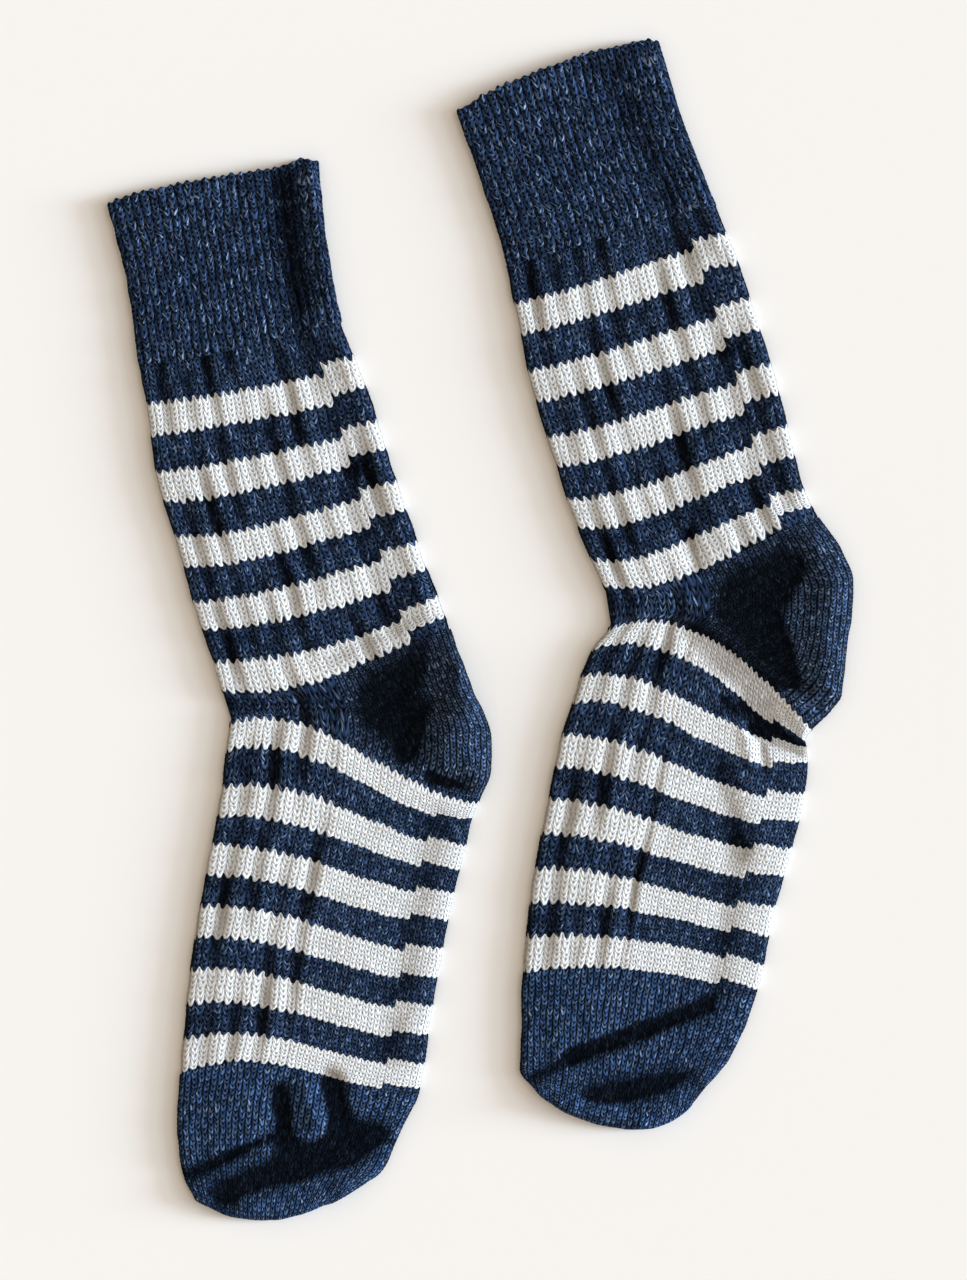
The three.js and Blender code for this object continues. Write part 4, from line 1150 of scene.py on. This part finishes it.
class KnitCuffs(bpy.types.Operator):
    """Knit both cuffs"""

    bl_idname = "socks.knit_cuffs"
    bl_label = "Knit cuffs"

    def execute(self, context):
        dress("cuff", make_cuff, "Cuff cloth")
        return {"FINISHED"}


class KnitLegs(bpy.types.Operator):
    """Knit both legs, with their stripes and the band over the ankle"""

    bl_idname = "socks.knit_legs"
    bl_label = "Knit legs"

    def execute(self, context):
        dress("leg", make_leg, "Striped cloth")
        return {"FINISHED"}


class KnitHeels(bpy.types.Operator):
    """Knit both heels"""

    bl_idname = "socks.knit_heels"
    bl_label = "Knit heels"

    def execute(self, context):
        dress("heel", make_heel, "Heel cloth")
        return {"FINISHED"}


class KnitFeet(bpy.types.Operator):
    """Knit both feet, ribbed on the instep and plain on the sole"""

    bl_idname = "socks.knit_feet"
    bl_label = "Knit feet"

    def execute(self, context):
        dress("foot", make_foot, "Striped cloth")
        return {"FINISHED"}


class KnitToes(bpy.types.Operator):
    """Knit both toes"""

    bl_idname = "socks.knit_toes"
    bl_label = "Knit toes"

    def execute(self, context):
        dress("toe", make_toe, "Toe cloth")
        return {"FINISHED"}


class SetSockStage(bpy.types.Operator):
    """Set up the pale floor, the soft light and the camera straight above"""

    bl_idname = "socks.set_stage"
    bl_label = "Set the stage"

    def execute(self, context):
        stage = context.scene.sock_stage
        half = 4.0
        mesh = bpy.data.meshes.new("Floor")
        mesh.from_pydata([(-half, -half, 0), (half, -half, 0), (half, half, 0), (-half, half, 0)], [], [(0, 1, 2, 3)])
        mesh.materials.append(plain_material("floor", stage.floor, 0.95))
        floor = bpy.data.objects.new("Floor", mesh)
        context.scene.collection.objects.link(floor)

        for name, strength, height, softness in (
            ("Low light", stage.low_strength, stage.low_height, stage.low_softness),
            ("Side light", stage.side_strength, stage.side_height, stage.side_softness),
            ("High light", stage.high_strength, stage.high_height, stage.high_softness),
        ):
            lamp = bpy.data.lights.new(name, "SUN")
            lamp.energy, lamp.color, lamp.angle = strength, stage.light_colour, softness
            light = bpy.data.objects.new(name, lamp)
            light.rotation_euler = (0, math.pi / 2 - height, stage.light_side)
            context.scene.collection.objects.link(light)

        world = bpy.data.worlds.new("Studio")
        world.use_nodes = True
        world.node_tree.nodes["Background"].inputs["Color"].default_value = (*stage.fill, 1)
        context.scene.world = world
        context.scene.view_settings.view_transform = "Standard"

        shot = bpy.data.cameras.new("Camera")
        shot.sensor_fit, shot.sensor_width = "AUTO", 36.0
        middle_height = 0.003
        shot.lens = shot.sensor_width * (stage.camera_height - middle_height) / stage.view_height
        shot.clip_start, shot.clip_end = 0.05, 50
        camera = bpy.data.objects.new("Camera", shot)
        camera.location = (0.00153, -0.00403, stage.camera_height)
        context.scene.collection.objects.link(camera)
        context.scene.camera = camera
        return {"FINISHED"}


class StripedSocksPanel(bpy.types.Panel):
    """Lists the steps and the settings"""

    bl_idname = "VIEW3D_PT_striped_socks"
    bl_label = "Striped socks"
    bl_space_type = "VIEW_3D"
    bl_region_type = "UI"
    bl_category = "Striped socks"

    def draw(self, context):
        layout = self.layout
        for step in STEPS:
            layout.operator(step.bl_idname)
        for group in (context.scene.sock_yarns, context.scene.sock_knit, context.scene.sock_stage):
            box = layout.box()
            for name in group.__annotations__:
                box.prop(group, name)


STEPS = (SetSockStage, KnitCuffs, KnitLegs, KnitHeels, KnitFeet, KnitToes)
GROUPS = {"sock_yarns": SockYarns, "sock_knit": SockKnit, "sock_stage": SockStage}


def register():
    for group in GROUPS.values():
        bpy.utils.register_class(group)
    for name, group in GROUPS.items():
        setattr(bpy.types.Scene, name, PointerProperty(type=group))
    for cls in (*STEPS, StripedSocksPanel):
        bpy.utils.register_class(cls)


def unregister():
    for cls in (StripedSocksPanel, *reversed(STEPS)):
        bpy.utils.unregister_class(cls)
    for name, group in GROUPS.items():
        delattr(bpy.types.Scene, name)
        bpy.utils.unregister_class(group)


def main():
    register()
    bpy.ops.socks.set_stage()
    bpy.ops.socks.knit_cuffs()
    bpy.ops.socks.knit_legs()
    bpy.ops.socks.knit_heels()
    bpy.ops.socks.knit_feet()
    bpy.ops.socks.knit_toes()


if __name__ == "__main__":
    main()
